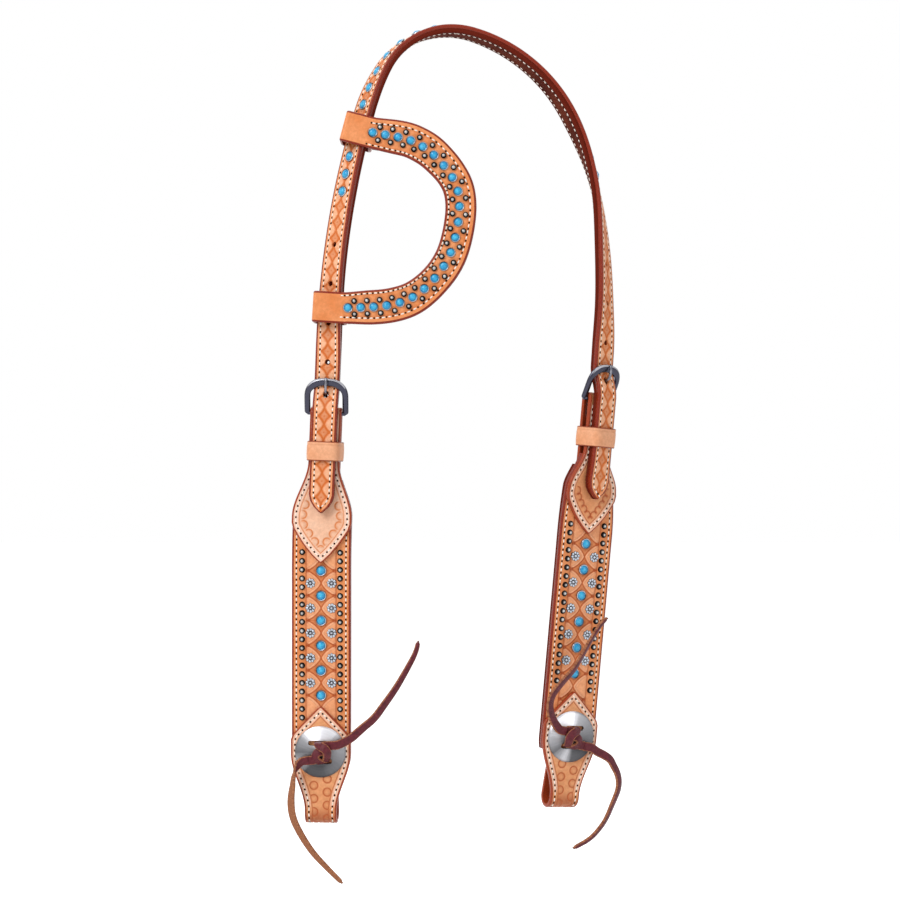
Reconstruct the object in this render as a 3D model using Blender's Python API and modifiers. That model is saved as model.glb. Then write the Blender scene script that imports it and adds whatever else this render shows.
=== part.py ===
"""Western one ear headstall: a doubled crown strap, a shaped ear piece that slides on it, and two studded cheeks.

Every leather piece is cut flat and then bent. A flat piece has x across the strap, y along it and z out
through its show face. One line, the spine, runs up the left cheek, over the poll and down the right cheek,
and its frame turns with the strap.
"""

import math

import bmesh
import bpy
from mathutils import Matrix, Vector

OBJECT_NAME = "western_headstall"

# Clearances
GAP = 0.0003
RUNNING_GAP = 0.0006
OVERRUN = 0.004

# Strap leather
STRAP_WIDTH = 0.016
FACE_LEATHER = 0.0027
LINING_LEATHER = 0.0024
EDGE_ROUND = 0.0008
STRAP_THICKNESS = LINING_LEATHER + GAP + FACE_LEATHER

# The spine, run by run from the left cheek over the poll to the right cheek
CHEEK_DROP = 0.205
SWAY_RUN = 0.036
CHAPE_RUN = 0.064
LEFT_RISE = 0.055
EAR_RUN = 0.140
EAR_TURN = 14.0
SHOULDER_RUN = 0.030
BROW_RUN = 0.015
POLL_RUN = 0.050
ARCH_RUN = 0.080
FLANK_RUN = 0.070
FALL_RUN = 0.087
RIGHT_RISE = 0.030
RUNS = (
    (CHEEK_DROP, 0.0),
    (SWAY_RUN, 2.3),
    (CHAPE_RUN, 0.0),
    (LEFT_RISE, 0.0),
    (EAR_RUN, EAR_TURN),
    (SHOULDER_RUN, 14.0),
    (BROW_RUN, 19.0),
    (POLL_RUN, 58.0),
    (ARCH_RUN, 44.0),
    (FLANK_RUN, 22.5),
    (FALL_RUN, 9.7),
    (RIGHT_RISE, 1.6),
    (CHAPE_RUN + SWAY_RUN + CHEEK_DROP, 0.0),
)
SPINE_START = -(CHEEK_DROP + SWAY_RUN + CHAPE_RUN)
CROWN_SPAN = sum(length for length, turn in RUNS[3:12])

# Turn of the show face away from the front, in degrees, by share of the crown from left buckle to right
ROLL_SHARES = (
    (0.047, 4.0),
    (0.100, 18.0),
    (0.170, 33.0),
    (0.260, 40.0),
    (0.360, 50.0),
    (0.400, 62.0),
    (0.440, 76.0),
    (0.490, 90.0),
    (0.610, 104.0),
    (0.670, 107.0),
    (0.740, 91.0),
    (0.830, 66.0),
    (0.890, 56.0),
    (0.945, 42.0),
)
ROLL_SOLVE_STEP = 0.0005

# Leather of the cheeks and chapes
LEAF_LEATHER = 0.0024
CHEEK_LEATHER = 0.0026
CHEEK_WIDTH = 0.0384
NECK_WIDTH = 0.0200
BIT_END_WIDTH = 0.0205
BAR_DIAMETER = 0.0026

# The stack of a cheek, measured out from the back of its lining
CHEEK_BACK = LEAF_LEATHER + GAP
FRONT_LEAF_BACK = CHEEK_BACK + CHEEK_LEATHER + GAP
FRONT_LEAF_FACE = FRONT_LEAF_BACK + LEAF_LEATHER
STRAP_BACK = FRONT_LEAF_FACE + GAP
STRAP_FACE = STRAP_BACK + STRAP_THICKNESS
BAR_LEVEL = (LEAF_LEATHER + FRONT_LEAF_BACK) / 2

# The strap climbs from the line of the crown on to the chape as it passes through the buckle
STRAP_LIFT = 0.0050
LIFT_START = -0.0010
LIFT_RUN = 0.0200
SIDE_LEVEL = STRAP_BACK + STRAP_THICKNESS / 2 - STRAP_LIFT

# Lengths down each side, measured from the buckle's heel bar
TAIL_LENGTH = 0.0635
SPADE_REACH = {"left": 0.0955, "right": 0.0860}
SPADE_POINT = 0.0290
NECK_LENGTH = 0.0315
CHEEK_TOP = 0.0350
BACK_LEAF_END = 0.0420
BILLET_PEAK = 0.1870
BILLET_POINT = 0.0210
CHEEK_END = 0.2240
TAPER_START = 0.2170
TAPER_RUN = 0.0360
CHEEK_TURN = {"left": 4.0, "right": 24.0}

# Outlines as shares, from the widest place to the point
SPADE_SHARES = ((0.0, 1.0), (0.13, 1.0), (0.25, 0.95), (0.42, 0.79), (0.6, 0.6), (0.8, 0.35), (0.94, 0.13), (1.0, 0.0))
PEAK_SHARES = ((0.0, 0.0), (0.05, 0.1), (0.3, 0.37), (0.6, 0.69), (0.85, 0.94), (1.0, 1.0))
TIP_SHARES = ((0.0, 0.0), (0.08, 0.2), (0.35, 0.6), (0.65, 0.87), (1.0, 1.0))
TIP_LENGTH = 0.0115

# The bit end folds back on itself round an open loop
LOOP_DEPTH = 0.0096
LOOP_BOTTOM = 0.2620
LOOP_CLOSE_ANGLE = 9.0
LOOP_CLOSE_RADIUS = 0.030
LOOP_BACK_END = 0.2000

# Holes in the strap
HOLE_DIAMETER = 0.0036
HOLE_PITCH = 0.0250
TONGUE_HOLE = 0.0112
NEXT_HOLE = {"left": 0.0325, "right": 0.0362}
TONGUE_HOLE_LENGTH = 0.0052
HOLE_COUNT = {"left": 5, "right": 4}

# Studs
TURQUOISE_DIAMETER = 0.0064
TURQUOISE_HEIGHT = 0.0017
SPOT_DIAMETER = 0.0040
SPOT_HEIGHT = 0.0014
ROSETTE_DIAMETER = 0.0062
ROSETTE_HEIGHT = 0.0016
STUD_SINK_SHARE = 0.12
ROSETTE_VALLEY_SHARE = 0.8
ROSETTE_RISE_SHARES = (-0.8, 0.5)
CROWN_STUD_PITCH = 0.01135
CROWN_STUD_FIRST = 0.1415
CROWN_STUD_COUNT = 25
FIELD_FIRST = {"left": 0.1005, "right": 0.0925}
FIELD_PITCH = {"left": 0.0159, "right": 0.0166}
FIELD_COUNT = 6
ROSETTE_OFFSET = 0.0068
SPOT_OFFSET = 0.0122
SPOT_PITCH = 0.00555
SPOT_COUNT = 20
SPOT_FIRST = {"left": 0.0888, "right": 0.0805}

# Buckle
FRAME_INSIDE = NECK_WIDTH + 2 * GAP
FRAME_BAR = 0.0038
FRAME_THICKNESS = 0.0022
FRAME_REACH = 0.0215
FRAME_ARCH = 0.0115
FRAME_HEEL_REACH = 0.0006
FRAME_BEVEL = 0.0006
FRAME_CORNER_SHARE = 0.8
NOTCH_WIDTH = 0.0022
NOTCH_DEPTH = 0.0006
TONGUE_WIDTH = 0.0019
TONGUE_THICKNESS = 0.0017
TONGUE_RING = 0.0013
TONGUE_SLOT_WIDTH = 0.0034
TONGUE_SLOT_REACH = 0.0044
TONGUE_PAST_ARCH = 0.0022
TONGUE_LEAN_SHARE = 0.45
# The tongue's way through the hole: share of its lean up the strap, and share of the strap's thickness outwards
TONGUE_PASS_SHARES = ((-0.8, -0.75), (0.0, 0.0), (0.8, 0.72))

# Keepers
KEEPER_LEATHER = 0.0018
KEEPER_LENGTH = 0.0125
KEEPER_TOP = 0.0180

# Ear piece
EAR_WIDTH = 0.0198
EAR_FACE_LEATHER = 0.0027
EAR_LINING_LEATHER = 0.0024
EAR_LOOP_LEATHER = 0.0018
EAR_LOOP_SLACK = 0.0006
EAR_LOOP_LENGTH = 0.0200
EAR_PLACES = (0.1812, 0.0670)
EAR_TRAVEL_UP = 0.008
EAR_TRAVEL_DOWN = 0.012
EAR_REACH = 0.0727
EAR_LEAD = 0.0090
EAR_SET_BACK = 0.0002
EAR_TURQUOISE_DIAMETER = 0.0050
EAR_STUD_COUNT = 22
EAR_STUD_END = 0.0038
EAR_SPOT_OFFSET = 0.0044
EAR_SPOT_DIAMETER = 0.0037
# The middle of the band: share of the reach from the strap, and share of the way from upper to lower loop
EAR_LINE_SHARES = (
    (0.408, 0.010),
    (0.525, 0.025),
    (0.641, 0.054),
    (0.751, 0.101),
    (0.850, 0.155),
    (0.940, 0.229),
    (0.990, 0.335),
    (1.000, 0.465),
    (0.980, 0.590),
    (0.934, 0.680),
    (0.872, 0.753),
    (0.796, 0.819),
    (0.697, 0.880),
    (0.578, 0.922),
    (0.422, 0.955),
)

# Conchos and ties
CONCHO_DIAMETER = 0.0326
CONCHO_METAL = 0.0011
CONCHO_RISE = 0.0016
CONCHO_WALL_SHARE = 0.92
CONCHO_PLACE = 0.2155
CONCHO_SLOT_SPACING = 0.0114
CONCHO_SLOT_LENGTH = 0.0125
CONCHO_SLOT_WIDTH = 0.0032
THONG_WIDTH = 0.0057
THONG_THICKNESS = 0.0021
THONG_SLOT_EXTRA = 0.0006
KNOT_RISE = 0.0046
KNOT_WIDTH = 0.0125
THONG_LENGTH = 0.0900
THONG_TIP_SHARE = 0.5
THONG_POINTS = 18
KNOT_EXIT_RUN = 0.0040
# Where each free end runs, as shares of its length: towards the head's middle, down, and out of the knot.
# The first row gives the side of the knot that it leaves by, and how far down.
TAIL_SHARES = {
    "left_thong_tail_upper": (
        (1.000, -0.055, 0.000),
        (0.218, -0.104, 0.000),
        (0.303, -0.178, 0.010),
        (0.389, -0.252, 0.020),
        (0.462, -0.349, 0.030),
        (0.548, -0.472, 0.030),
        (0.633, -0.619, 0.020),
        (0.682, -0.717, 0.010),
        (0.701, -0.797, 0.000),
    ),
    "left_thong_tail_lower": (
        (-1.000, 0.050, 0.000),
        (-0.172, 0.130, 0.000),
        (-0.187, 0.226, 0.000),
        (-0.199, 0.336, 0.000),
        (-0.186, 0.447, 0.000),
        (-0.137, 0.557, 0.000),
        (-0.052, 0.691, -0.010),
        (0.046, 0.801, -0.020),
        (0.162, 0.918, -0.030),
    ),
    "right_thong_tail_upper": (
        (1.000, -0.050, 0.000),
        (0.195, -0.120, 0.020),
        (0.242, -0.215, 0.035),
        (0.238, -0.305, 0.050),
        (0.180, -0.395, 0.060),
        (0.102, -0.485, 0.060),
        (0.042, -0.580, 0.055),
        (-0.020, -0.690, 0.045),
        (-0.098, -0.805, 0.030),
        (-0.155, -0.862, 0.020),
    ),
    "right_thong_tail_lower": (
        (-1.000, 0.055, 0.000),
        (-0.170, 0.085, 0.000),
        (-0.278, 0.133, 0.000),
        (-0.327, 0.191, 0.000),
        (-0.369, 0.260, 0.000),
        (-0.382, 0.337, 0.000),
        (-0.362, 0.412, 0.000),
        (-0.333, 0.489, 0.000),
        (-0.300, 0.572, 0.000),
        (-0.242, 0.654, 0.000),
        (-0.181, 0.718, -0.010),
        (-0.070, 0.781, -0.020),
    ),
}

SIDES = ("left", "right")


def hermite(table, at):
    """A smooth value from rising (place, value) pairs that never overshoots them."""
    places = [place for place, value in table]
    values = [value for place, value in table]
    if at <= places[0]:
        return values[0]
    if at >= places[-1]:
        return values[-1]
    steps = [
        (values[i + 1] - values[i]) / (places[i + 1] - places[i])
        for i in range(len(table) - 1)
    ]
    slopes = [0.0]
    for before, after in zip(steps, steps[1:]):
        same_way = before * after > 0
        slopes.append(2 * before * after / (before + after) if same_way else 0.0)
    slopes.append(0.0)
    i = max(k for k in range(len(places) - 1) if places[k] <= at)
    width = places[i + 1] - places[i]
    t = (at - places[i]) / width
    return (
        values[i] * (1 + 2 * t) * (1 - t) ** 2
        + values[i + 1] * t * t * (3 - 2 * t)
        + slopes[i] * width * t * (1 - t) ** 2
        - slopes[i + 1] * width * t * t * (1 - t)
    )


def smoothstep(t):
    t = min(1.0, max(0.0, t))
    return t * t * (3 - 2 * t)


def follow(runs, start, heading, at):
    """The place and heading at a distance along a chain of arcs, in a plane with its first axis across."""
    across, up, left = 0.0, 0.0, at - start
    for length, turn in runs:
        part = min(max(left, 0.0), length)
        bend = math.radians(turn * part / length)
        first = math.radians(heading)
        if abs(bend) < 1e-9:
            across += part * math.sin(first)
            up += part * math.cos(first)
        else:
            radius = part / bend
            across += radius * (math.cos(first) - math.cos(first + bend))
            up += radius * (math.sin(first + bend) - math.sin(first))
        heading += turn * part / length
        left -= length
        if left <= 0:
            break
    return across, up, heading


def spine_point(s):
    return follow(RUNS, SPINE_START, 0.0, s)


def roll_at(s):
    """The turn of the show face, in degrees from the front towards the outside of the bow."""
    spade_left, spade_right = SPADE_REACH["left"], SPADE_REACH["right"]
    table = [
        (-spade_left, CHEEK_TURN["left"]),
        (-NECK_LENGTH, ROLL_SHARES[0][1]),
        (LIFT_RUN, ROLL_SHARES[0][1]),
    ]
    table += [(share * CROWN_SPAN, turn) for share, turn in ROLL_SHARES]
    table += [
        (CROWN_SPAN - LIFT_RUN, ROLL_SHARES[-1][1]),
        (CROWN_SPAN + NECK_LENGTH, ROLL_SHARES[-1][1]),
        (CROWN_SPAN + spade_right, CHEEK_TURN["right"]),
    ]
    return hermite(table, s)


def apex():
    """The distance along the spine at which the strap runs level over the poll."""
    low, high = 0.0, CROWN_SPAN
    while high - low > ROLL_SOLVE_STEP / 1000:
        middle = (low + high) / 2
        if spine_point(middle)[2] < 90:
            low = middle
        else:
            high = middle
    return low


def axes_at(s):
    """Along, out and across unit vectors of the spine."""
    heading = math.radians(spine_point(s)[2])
    roll = math.radians(roll_at(s))
    along = Vector((math.sin(heading), 0.0, math.cos(heading)))
    outward = Vector((-math.cos(heading), 0.0, math.sin(heading)))
    out = Vector((0.0, -1.0, 0.0)) * math.cos(roll) + outward * math.sin(roll)
    return along, out, along.cross(out)


APEX = apex()
APEX_ACROSS, APEX_UP = spine_point(APEX)[:2]


def spine_origin(s):
    """A point of the spine, with the underside of the strap at the poll as the origin."""
    across, up = spine_point(s)[:2]
    seat = STRAP_THICKNESS / 2
    return Vector((across - APEX_ACROSS, 0.0, up - APEX_UP + seat))


def place(s, u, n):
    along, out, across = axes_at(s)
    return spine_origin(s) + across * u + out * n


def lift_at(s):
    """How far the strap stands off the spine: nothing over the crown, the full lift on each chape."""
    nearest = min(s, CROWN_SPAN - s)
    return STRAP_LIFT * (1 - smoothstep((nearest + LIFT_START) / LIFT_RUN))


def strap_axes(s):
    """The strap's own frame, which leans with its climb on to the chapes."""
    step = ROLL_SOLVE_STEP
    here = place(s, 0.0, lift_at(s))
    ahead = place(s + step, 0.0, lift_at(s + step)) - place(s - step, 0.0, lift_at(s - step))
    along = ahead.normalized()
    out = axes_at(s)[1]
    out = (out - along * out.dot(along)).normalized()
    return here, along, out, along.cross(out)


def strap_place(s, u, n):
    here, along, out, across = strap_axes(s)
    return here + across * u + out * n


def side_distance(side, v):
    """The distance along the spine of a place v below a side's buckle bar."""
    return -v if side == "left" else CROWN_SPAN + v


def side_place(side, u, v, n):
    """A place on a cheek: u towards the head's middle, v down from the heel bar, n out from the lining's back."""
    return place(side_distance(side, v), u, n - SIDE_LEVEL)


def side_matrix(side, v, n):
    """A frame on a cheek: x across, y up the strap, z out, with its origin at v and n."""
    along, out, across = axes_at(side_distance(side, v))
    up = along if side == "left" else -along
    right = up.cross(out)
    turned = Matrix((right, up, out)).transposed().to_4x4()
    return Matrix.Translation(side_place(side, 0.0, v, n)) @ turned


def new_collection(name):
    collection = bpy.data.collections.new(name)
    bpy.context.scene.collection.children.link(collection)
    return collection


def clear_scene():
    for item in list(bpy.data.objects):
        bpy.data.objects.remove(item, do_unlink=True)


def finish(name, color, roughness, metallic):
    material = bpy.data.materials.new(name)
    material.use_nodes = True
    shader = material.node_tree.nodes["Principled BSDF"]
    shader.inputs["Base Color"].default_value = (*color, 1.0)
    shader.inputs["Roughness"].default_value = roughness
    shader.inputs["Metallic"].default_value = metallic
    material.diffuse_color = (*color, 1.0)
    return material


def add_object(name, mesh, material):
    item = bpy.data.objects.new(name, mesh)
    PARTS.objects.link(item)
    mesh.materials.clear()
    mesh.materials.append(material)
    return item


def mesh_of(bm, name):
    mesh = bpy.data.meshes.new(name)
    bm.to_mesh(mesh)
    bm.free()
    return mesh


def evaluated_mesh(item):
    """The mesh of an object as it is shown, with loose caps welded to its sides."""
    bpy.context.view_layer.update()
    depsgraph = bpy.context.evaluated_depsgraph_get()
    mesh = bpy.data.meshes.new_from_object(item.evaluated_get(depsgraph))
    bm = bmesh.new()
    bm.from_mesh(mesh)
    bmesh.ops.remove_doubles(bm, verts=bm.verts, dist=1e-6)
    bm.to_mesh(mesh)
    bm.free()
    return mesh


def plate(outline, back, face):
    """A flat piece of leather cut to an outline, from its back level to its face level, as a bmesh."""
    curve = bpy.data.curves.new("outline", "CURVE")
    curve.dimensions = "2D"
    curve.fill_mode = "BOTH"
    curve.extrude = (face - back) / 2
    spline = curve.splines.new("POLY")
    spline.points.add(len(outline) - 1)
    for point, (x, y) in zip(spline.points, outline):
        point.co = (x, y, 0.0, 1.0)
    spline.use_cyclic_u = True
    item = bpy.data.objects.new("outline", curve)
    PARTS.objects.link(item)
    mesh = evaluated_mesh(item)
    bpy.data.objects.remove(item, do_unlink=True)
    bm = bmesh.new()
    bm.from_mesh(mesh)
    bmesh.ops.translate(bm, verts=bm.verts, vec=(0.0, 0.0, (face + back) / 2))
    bmesh.ops.dissolve_limit(bm, angle_limit=math.radians(1), verts=bm.verts, edges=bm.edges)
    bmesh.ops.recalc_face_normals(bm, faces=bm.faces)
    return bm


def round_rim(bm, level, width):
    """Takes the corner off a flat piece's rim at its back or its face level."""
    faces = [
        face
        for face in bm.faces
        if all(abs(vert.co.z - level) < GAP / 10 for vert in face.verts)
    ]
    middle = sum(vert.co.z for vert in bm.verts) / len(bm.verts)
    bmesh.ops.inset_region(bm, faces=faces, thickness=width, use_even_offset=True)
    inner = {vert for face in faces for vert in face.verts}
    for vert in bm.verts:
        if abs(vert.co.z - level) < GAP / 10 and vert not in inner:
            vert.co.z -= math.copysign(width, level - middle)
    bmesh.ops.recalc_face_normals(bm, faces=bm.faces)


def disc(bm, center, radii, back, face, count):
    """An upright plug with an oval outline, for a hole."""
    x, y = center
    matrix = Matrix.Translation((x, y, (back + face) / 2)) @ Matrix.Diagonal(
        (radii[0], radii[1], face - back, 1.0)
    )
    bmesh.ops.create_cone(
        bm, cap_ends=True, segments=count, radius1=1, radius2=1, depth=1, matrix=matrix
    )


def block(bm, center, size):
    matrix = Matrix.Translation(center) @ Matrix.Diagonal((*size, 1.0))
    bmesh.ops.create_cube(bm, size=1, matrix=matrix)


def dome(bm, center, diameter, height, level, count):
    """A round stud, with its widest ring sunk just under the face of the leather."""
    matrix = Matrix.Translation((*center, level - height * STUD_SINK_SHARE)) @ Matrix.Diagonal(
        (diameter / 2, diameter / 2, height, 1.0)
    )
    bmesh.ops.create_uvsphere(bm, u_segments=count, v_segments=4, radius=1, matrix=matrix)


def rosette(bm, center, level):
    """A flower stud with eight petals round a raised middle."""
    points = 16
    loops = []
    for rise in ROSETTE_RISE_SHARES:
        loop = []
        for k in range(points):
            reach = ROSETTE_DIAMETER / 2 * (1 if k % 2 else ROSETTE_VALLEY_SHARE)
            angle = math.tau * k / points
            x = center[0] + reach * math.cos(angle)
            y = center[1] + reach * math.sin(angle)
            loop.append(bm.verts.new((x, y, level + ROSETTE_HEIGHT * rise)))
        loops.append(loop)
    top = bm.verts.new((*center, level + ROSETTE_HEIGHT))
    lower, upper = loops
    for k in range(points):
        after = (k + 1) % points
        bm.faces.new((lower[k], lower[after], upper[after], upper[k]))
        bm.faces.new((upper[k], upper[after], top))
    bm.faces.new(list(reversed(lower)))


def combined(bm, tool, operation):
    """A solid after a Boolean with a tool solid, both as bmeshes."""
    target = bpy.data.objects.new("blank", mesh_of(bm, "blank"))
    other = bpy.data.objects.new("tool", mesh_of(tool, "tool"))
    for item in (target, other):
        PARTS.objects.link(item)
    modifier = target.modifiers.new("cut", "BOOLEAN")
    modifier.operation = operation
    modifier.solver = "EXACT"
    modifier.object = other
    mesh = evaluated_mesh(target)
    for item in (target, other):
        bpy.data.objects.remove(item, do_unlink=True)
    result = bmesh.new()
    result.from_mesh(mesh)
    return result


def split(bm, axis, places, zone=None):
    """Cuts the faces of a flat piece along straight lines, so that it can bend there."""
    for at in places:
        point = [0.0, 0.0, 0.0]
        normal = [0.0, 0.0, 0.0]
        point[axis] = at
        normal[axis] = 1.0
        faces = [
            face
            for face in bm.faces
            if zone is None or zone[0] < face.calc_center_median().y < zone[1]
        ]
        edges = {edge for face in faces for edge in face.edges}
        verts = {vert for face in faces for vert in face.verts}
        geometry = list(verts) + list(edges) + faces
        bmesh.ops.bisect_plane(bm, geom=geometry, dist=GAP / 100, plane_co=point, plane_no=normal)


def bend(bm, mapping, name, material):
    """Bends a flat piece by a function of its points and makes it an object."""
    bmesh.ops.triangulate(bm, faces=bm.faces, quad_method="FIXED")
    for vert in bm.verts:
        vert.co = mapping(vert.co.x, vert.co.y, vert.co.z)
    if bm.calc_volume(signed=True) < 0:
        bmesh.ops.reverse_faces(bm, faces=bm.faces)
    mesh = mesh_of(bm, name)
    mesh.shade_smooth()
    mesh.set_sharp_from_angle(angle=math.radians(35))
    return add_object(name, mesh, material)


def spaced(low, high, step, through):
    """Places between two limits that are whole steps from a place they pass through."""
    first = math.ceil((low - through) / step)
    last = math.floor((high - through) / step)
    return [through + k * step for k in range(first, last + 1)]


def strap_outline():
    """The crown strap laid flat, with its points beyond the two buckles."""
    low, high, half = -TAIL_LENGTH, CROWN_SPAN + TAIL_LENGTH, STRAP_WIDTH / 2
    left = [(half * w, low + TIP_LENGTH * t) for t, w in TIP_SHARES]
    right = [(half * w, high - TIP_LENGTH * t) for t, w in reversed(TIP_SHARES)]
    near_side = left + right
    return near_side + [(-x, y) for x, y in reversed(near_side) if x > 0]


def hole_places():
    """The distances along the spine of the strap's holes, with each buckle's own hole first."""
    sides = []
    for side in SIDES:
        others = [NEXT_HOLE[side] + k * HOLE_PITCH for k in range(HOLE_COUNT[side] - 1)]
        sides.append([TONGUE_HOLE] + others)
    return sides[0], [CROWN_SPAN - at for at in sides[1]]


def punch_holes(bm, back, face):
    tool = bmesh.new()
    for holes in hole_places():
        for k, at in enumerate(holes):
            half_length = (TONGUE_HOLE_LENGTH if k == 0 else HOLE_DIAMETER) / 2
            radii = (HOLE_DIAMETER / 2, half_length)
            disc(tool, (0.0, at), radii, back - OVERRUN, face + OVERRUN, 8)
    return combined(bm, tool, "DIFFERENCE")


def crown_studs():
    return [CROWN_STUD_FIRST + k * CROWN_STUD_PITCH for k in range(CROWN_STUD_COUNT)]


def crown_stations():
    """Where the strap is creased: every stud pitch, and between them where it curves or turns fast."""
    low, high = -TAIL_LENGTH, CROWN_SPAN + TAIL_LENGTH
    coarse = spaced(low, high, CROWN_STUD_PITCH, CROWN_STUD_FIRST)
    fine = [at + CROWN_STUD_PITCH / 2 for at in coarse]
    return coarse + [at for at in fine if -LIFT_RUN / 2 < at < CROWN_SPAN + LIFT_RUN / 2]


def make_crown(materials):
    stations = crown_stations()
    middle = LINING_LEATHER + GAP - STRAP_THICKNESS / 2
    top, bottom = STRAP_THICKNESS / 2, -STRAP_THICKNESS / 2
    face = plate(strap_outline(), middle, top)
    round_rim(face, top, EDGE_ROUND)
    lining = plate(strap_outline(), bottom, bottom + LINING_LEATHER)
    for bm in (face, lining):
        split(bm, 1, stations)
        split(bm, 0, [0.0])
    face = punch_holes(face, middle, top)
    lining = punch_holes(lining, bottom, bottom + LINING_LEATHER)
    studs = bmesh.new()
    for at in crown_studs():
        dome(studs, (0.0, at), TURQUOISE_DIAMETER, TURQUOISE_HEIGHT, top, 8)
    face = combined(face, studs, "UNION")
    for bm, name, material in (
        (face, "crown_face", materials["tooled"]),
        (lining, "crown_lining", materials["lining"]),
    ):
        bend(bm, lambda u, s, n: strap_place(s, u, n), name, material)


def half_width(side, v):
    """Half the width of a side's silhouette: neck, flare, cheek and taper to the bit end."""
    flare_end = SPADE_REACH[side] - SPADE_POINT - GAP
    flare = smoothstep((v - NECK_LENGTH) / (flare_end - NECK_LENGTH))
    taper = smoothstep((v - TAPER_START) / TAPER_RUN)
    wide = NECK_WIDTH + (CHEEK_WIDTH - NECK_WIDTH) * flare
    return (wide + (BIT_END_WIDTH - wide) * taper) / 2


def mirrored(one_side):
    """A closed outline from the points of its right side, listed bottom to top or top to bottom."""
    return one_side + [(-x, y) for x, y in reversed(one_side) if x > 0]


def flare_places(side, low, high, count):
    return [low + (high - low) * k / count for k in range(count + 1)]


def cheek_outline(side, top, inset):
    flare_end = SPADE_REACH[side] - SPADE_POINT
    places = flare_places(side, top, flare_end, 7) + flare_places(side, TAPER_START, CHEEK_END, 2)
    return mirrored([(half_width(side, v) - inset, v) for v in places])


def field_studs(side):
    """The cheek's stud pattern: turquoise down the middle, rosettes in pairs between, spots down both sides."""
    turquoise = [
        (0.0, FIELD_FIRST[side] + k * FIELD_PITCH[side]) for k in range(FIELD_COUNT)
    ]
    rosettes = [
        (sign * ROSETTE_OFFSET, v + FIELD_PITCH[side] / 2)
        for (x, v) in turquoise[:-1]
        for sign in (-1, 1)
    ]
    spots = [
        (sign * SPOT_OFFSET, SPOT_FIRST[side] + k * SPOT_PITCH)
        for k in range(SPOT_COUNT)
        for sign in (-1, 1)
    ]
    return turquoise, rosettes, spots


def thong_slots(tool, back, face):
    """Two slots for the tie, one above and one below the middle of the concho."""
    for sign in (-1, 1):
        v = CONCHO_PLACE + sign * CONCHO_SLOT_SPACING / 2
        size = (
            THONG_WIDTH + 2 * THONG_SLOT_EXTRA,
            THONG_THICKNESS + 2 * THONG_SLOT_EXTRA,
            face - back + 2 * OVERRUN,
        )
        block(tool, (0.0, v, (face + back) / 2), size)


def side_bender(side):
    return lambda u, v, n: side_place(side, u, v, n)


def twist_places(side):
    """The stations of a side between the keeper and the studded panel, where its face turns to the front."""
    return flare_places(side, NECK_LENGTH, SPADE_REACH[side], 11)


def crease_side(bm, places, zone):
    split(bm, 1, places)
    split(bm, 0, [CHEEK_WIDTH * share / 4 for share in (-1, 0, 1)], zone)


def make_cheek(side, materials):
    """The tooled and studded face of a cheek, and the lining behind it."""
    zone = (NECK_LENGTH, SPADE_REACH[side])
    face_level = CHEEK_BACK + CHEEK_LEATHER
    face = plate(cheek_outline(side, CHEEK_TOP, GAP), CHEEK_BACK, face_level)
    lining = plate(cheek_outline(side, BACK_LEAF_END + GAP, GAP), 0.0, LEAF_LEATHER)
    pieces = []
    for bm in (face, lining):
        crease_side(bm, twist_places(side), zone)
        tool = bmesh.new()
        thong_slots(tool, 0.0, face_level)
        pieces.append(combined(bm, tool, "DIFFERENCE"))
    studs = bmesh.new()
    turquoise, rosettes, spots = field_studs(side)
    for center in turquoise:
        dome(studs, center, TURQUOISE_DIAMETER, TURQUOISE_HEIGHT, face_level, 8)
    for center in rosettes:
        rosette(studs, center, face_level)
    for center in spots:
        dome(studs, center, SPOT_DIAMETER, SPOT_HEIGHT, face_level, 6)
    pieces[0] = combined(pieces[0], studs, "UNION")
    bend(pieces[0], side_bender(side), side + "_cheek_face", materials["tooled"])
    bend(pieces[1], side_bender(side), side + "_cheek_lining", materials["lining"])


def chain_runs(runs, start, heading, outer_sign):
    """A function that puts a strip's points on a folded path of arcs in the plane of v and n."""

    def at(l, t):
        v, n, turned = follow(runs, 0.0, heading, l)
        angle = math.radians(turned)
        along = (math.sin(angle), math.cos(angle))
        out = (along[1] * outer_sign, -along[0] * outer_sign)
        return start[0] + v + out[0] * t, start[1] + n + out[1] * t

    return at


def fold_stations(runs, facets):
    """The distances at which each bent run of a folded path is creased."""
    places, done = [], 0.0
    for (length, turn), count in zip(runs, facets):
        places += [done + length * k / count for k in range(count + 1)]
        done += length
    return places


def spade_outline(side, fold_length, back_length):
    """The top billet laid flat, from the spade's point up the neck, round the fold and down the back leaf."""
    reach = SPADE_REACH[side]
    widest = reach - SPADE_POINT
    tip = [(CHEEK_WIDTH / 2 * w, SPADE_POINT * (1 - t)) for t, w in reversed(SPADE_SHARES)]
    flare = [
        (half_width(side, v), reach - v)
        for v in reversed(flare_places(side, NECK_LENGTH, widest, 7)[:-1])
    ]
    top = reach + fold_length + back_length
    return mirrored(tip + flare + [(NECK_WIDTH / 2, top)])


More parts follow.
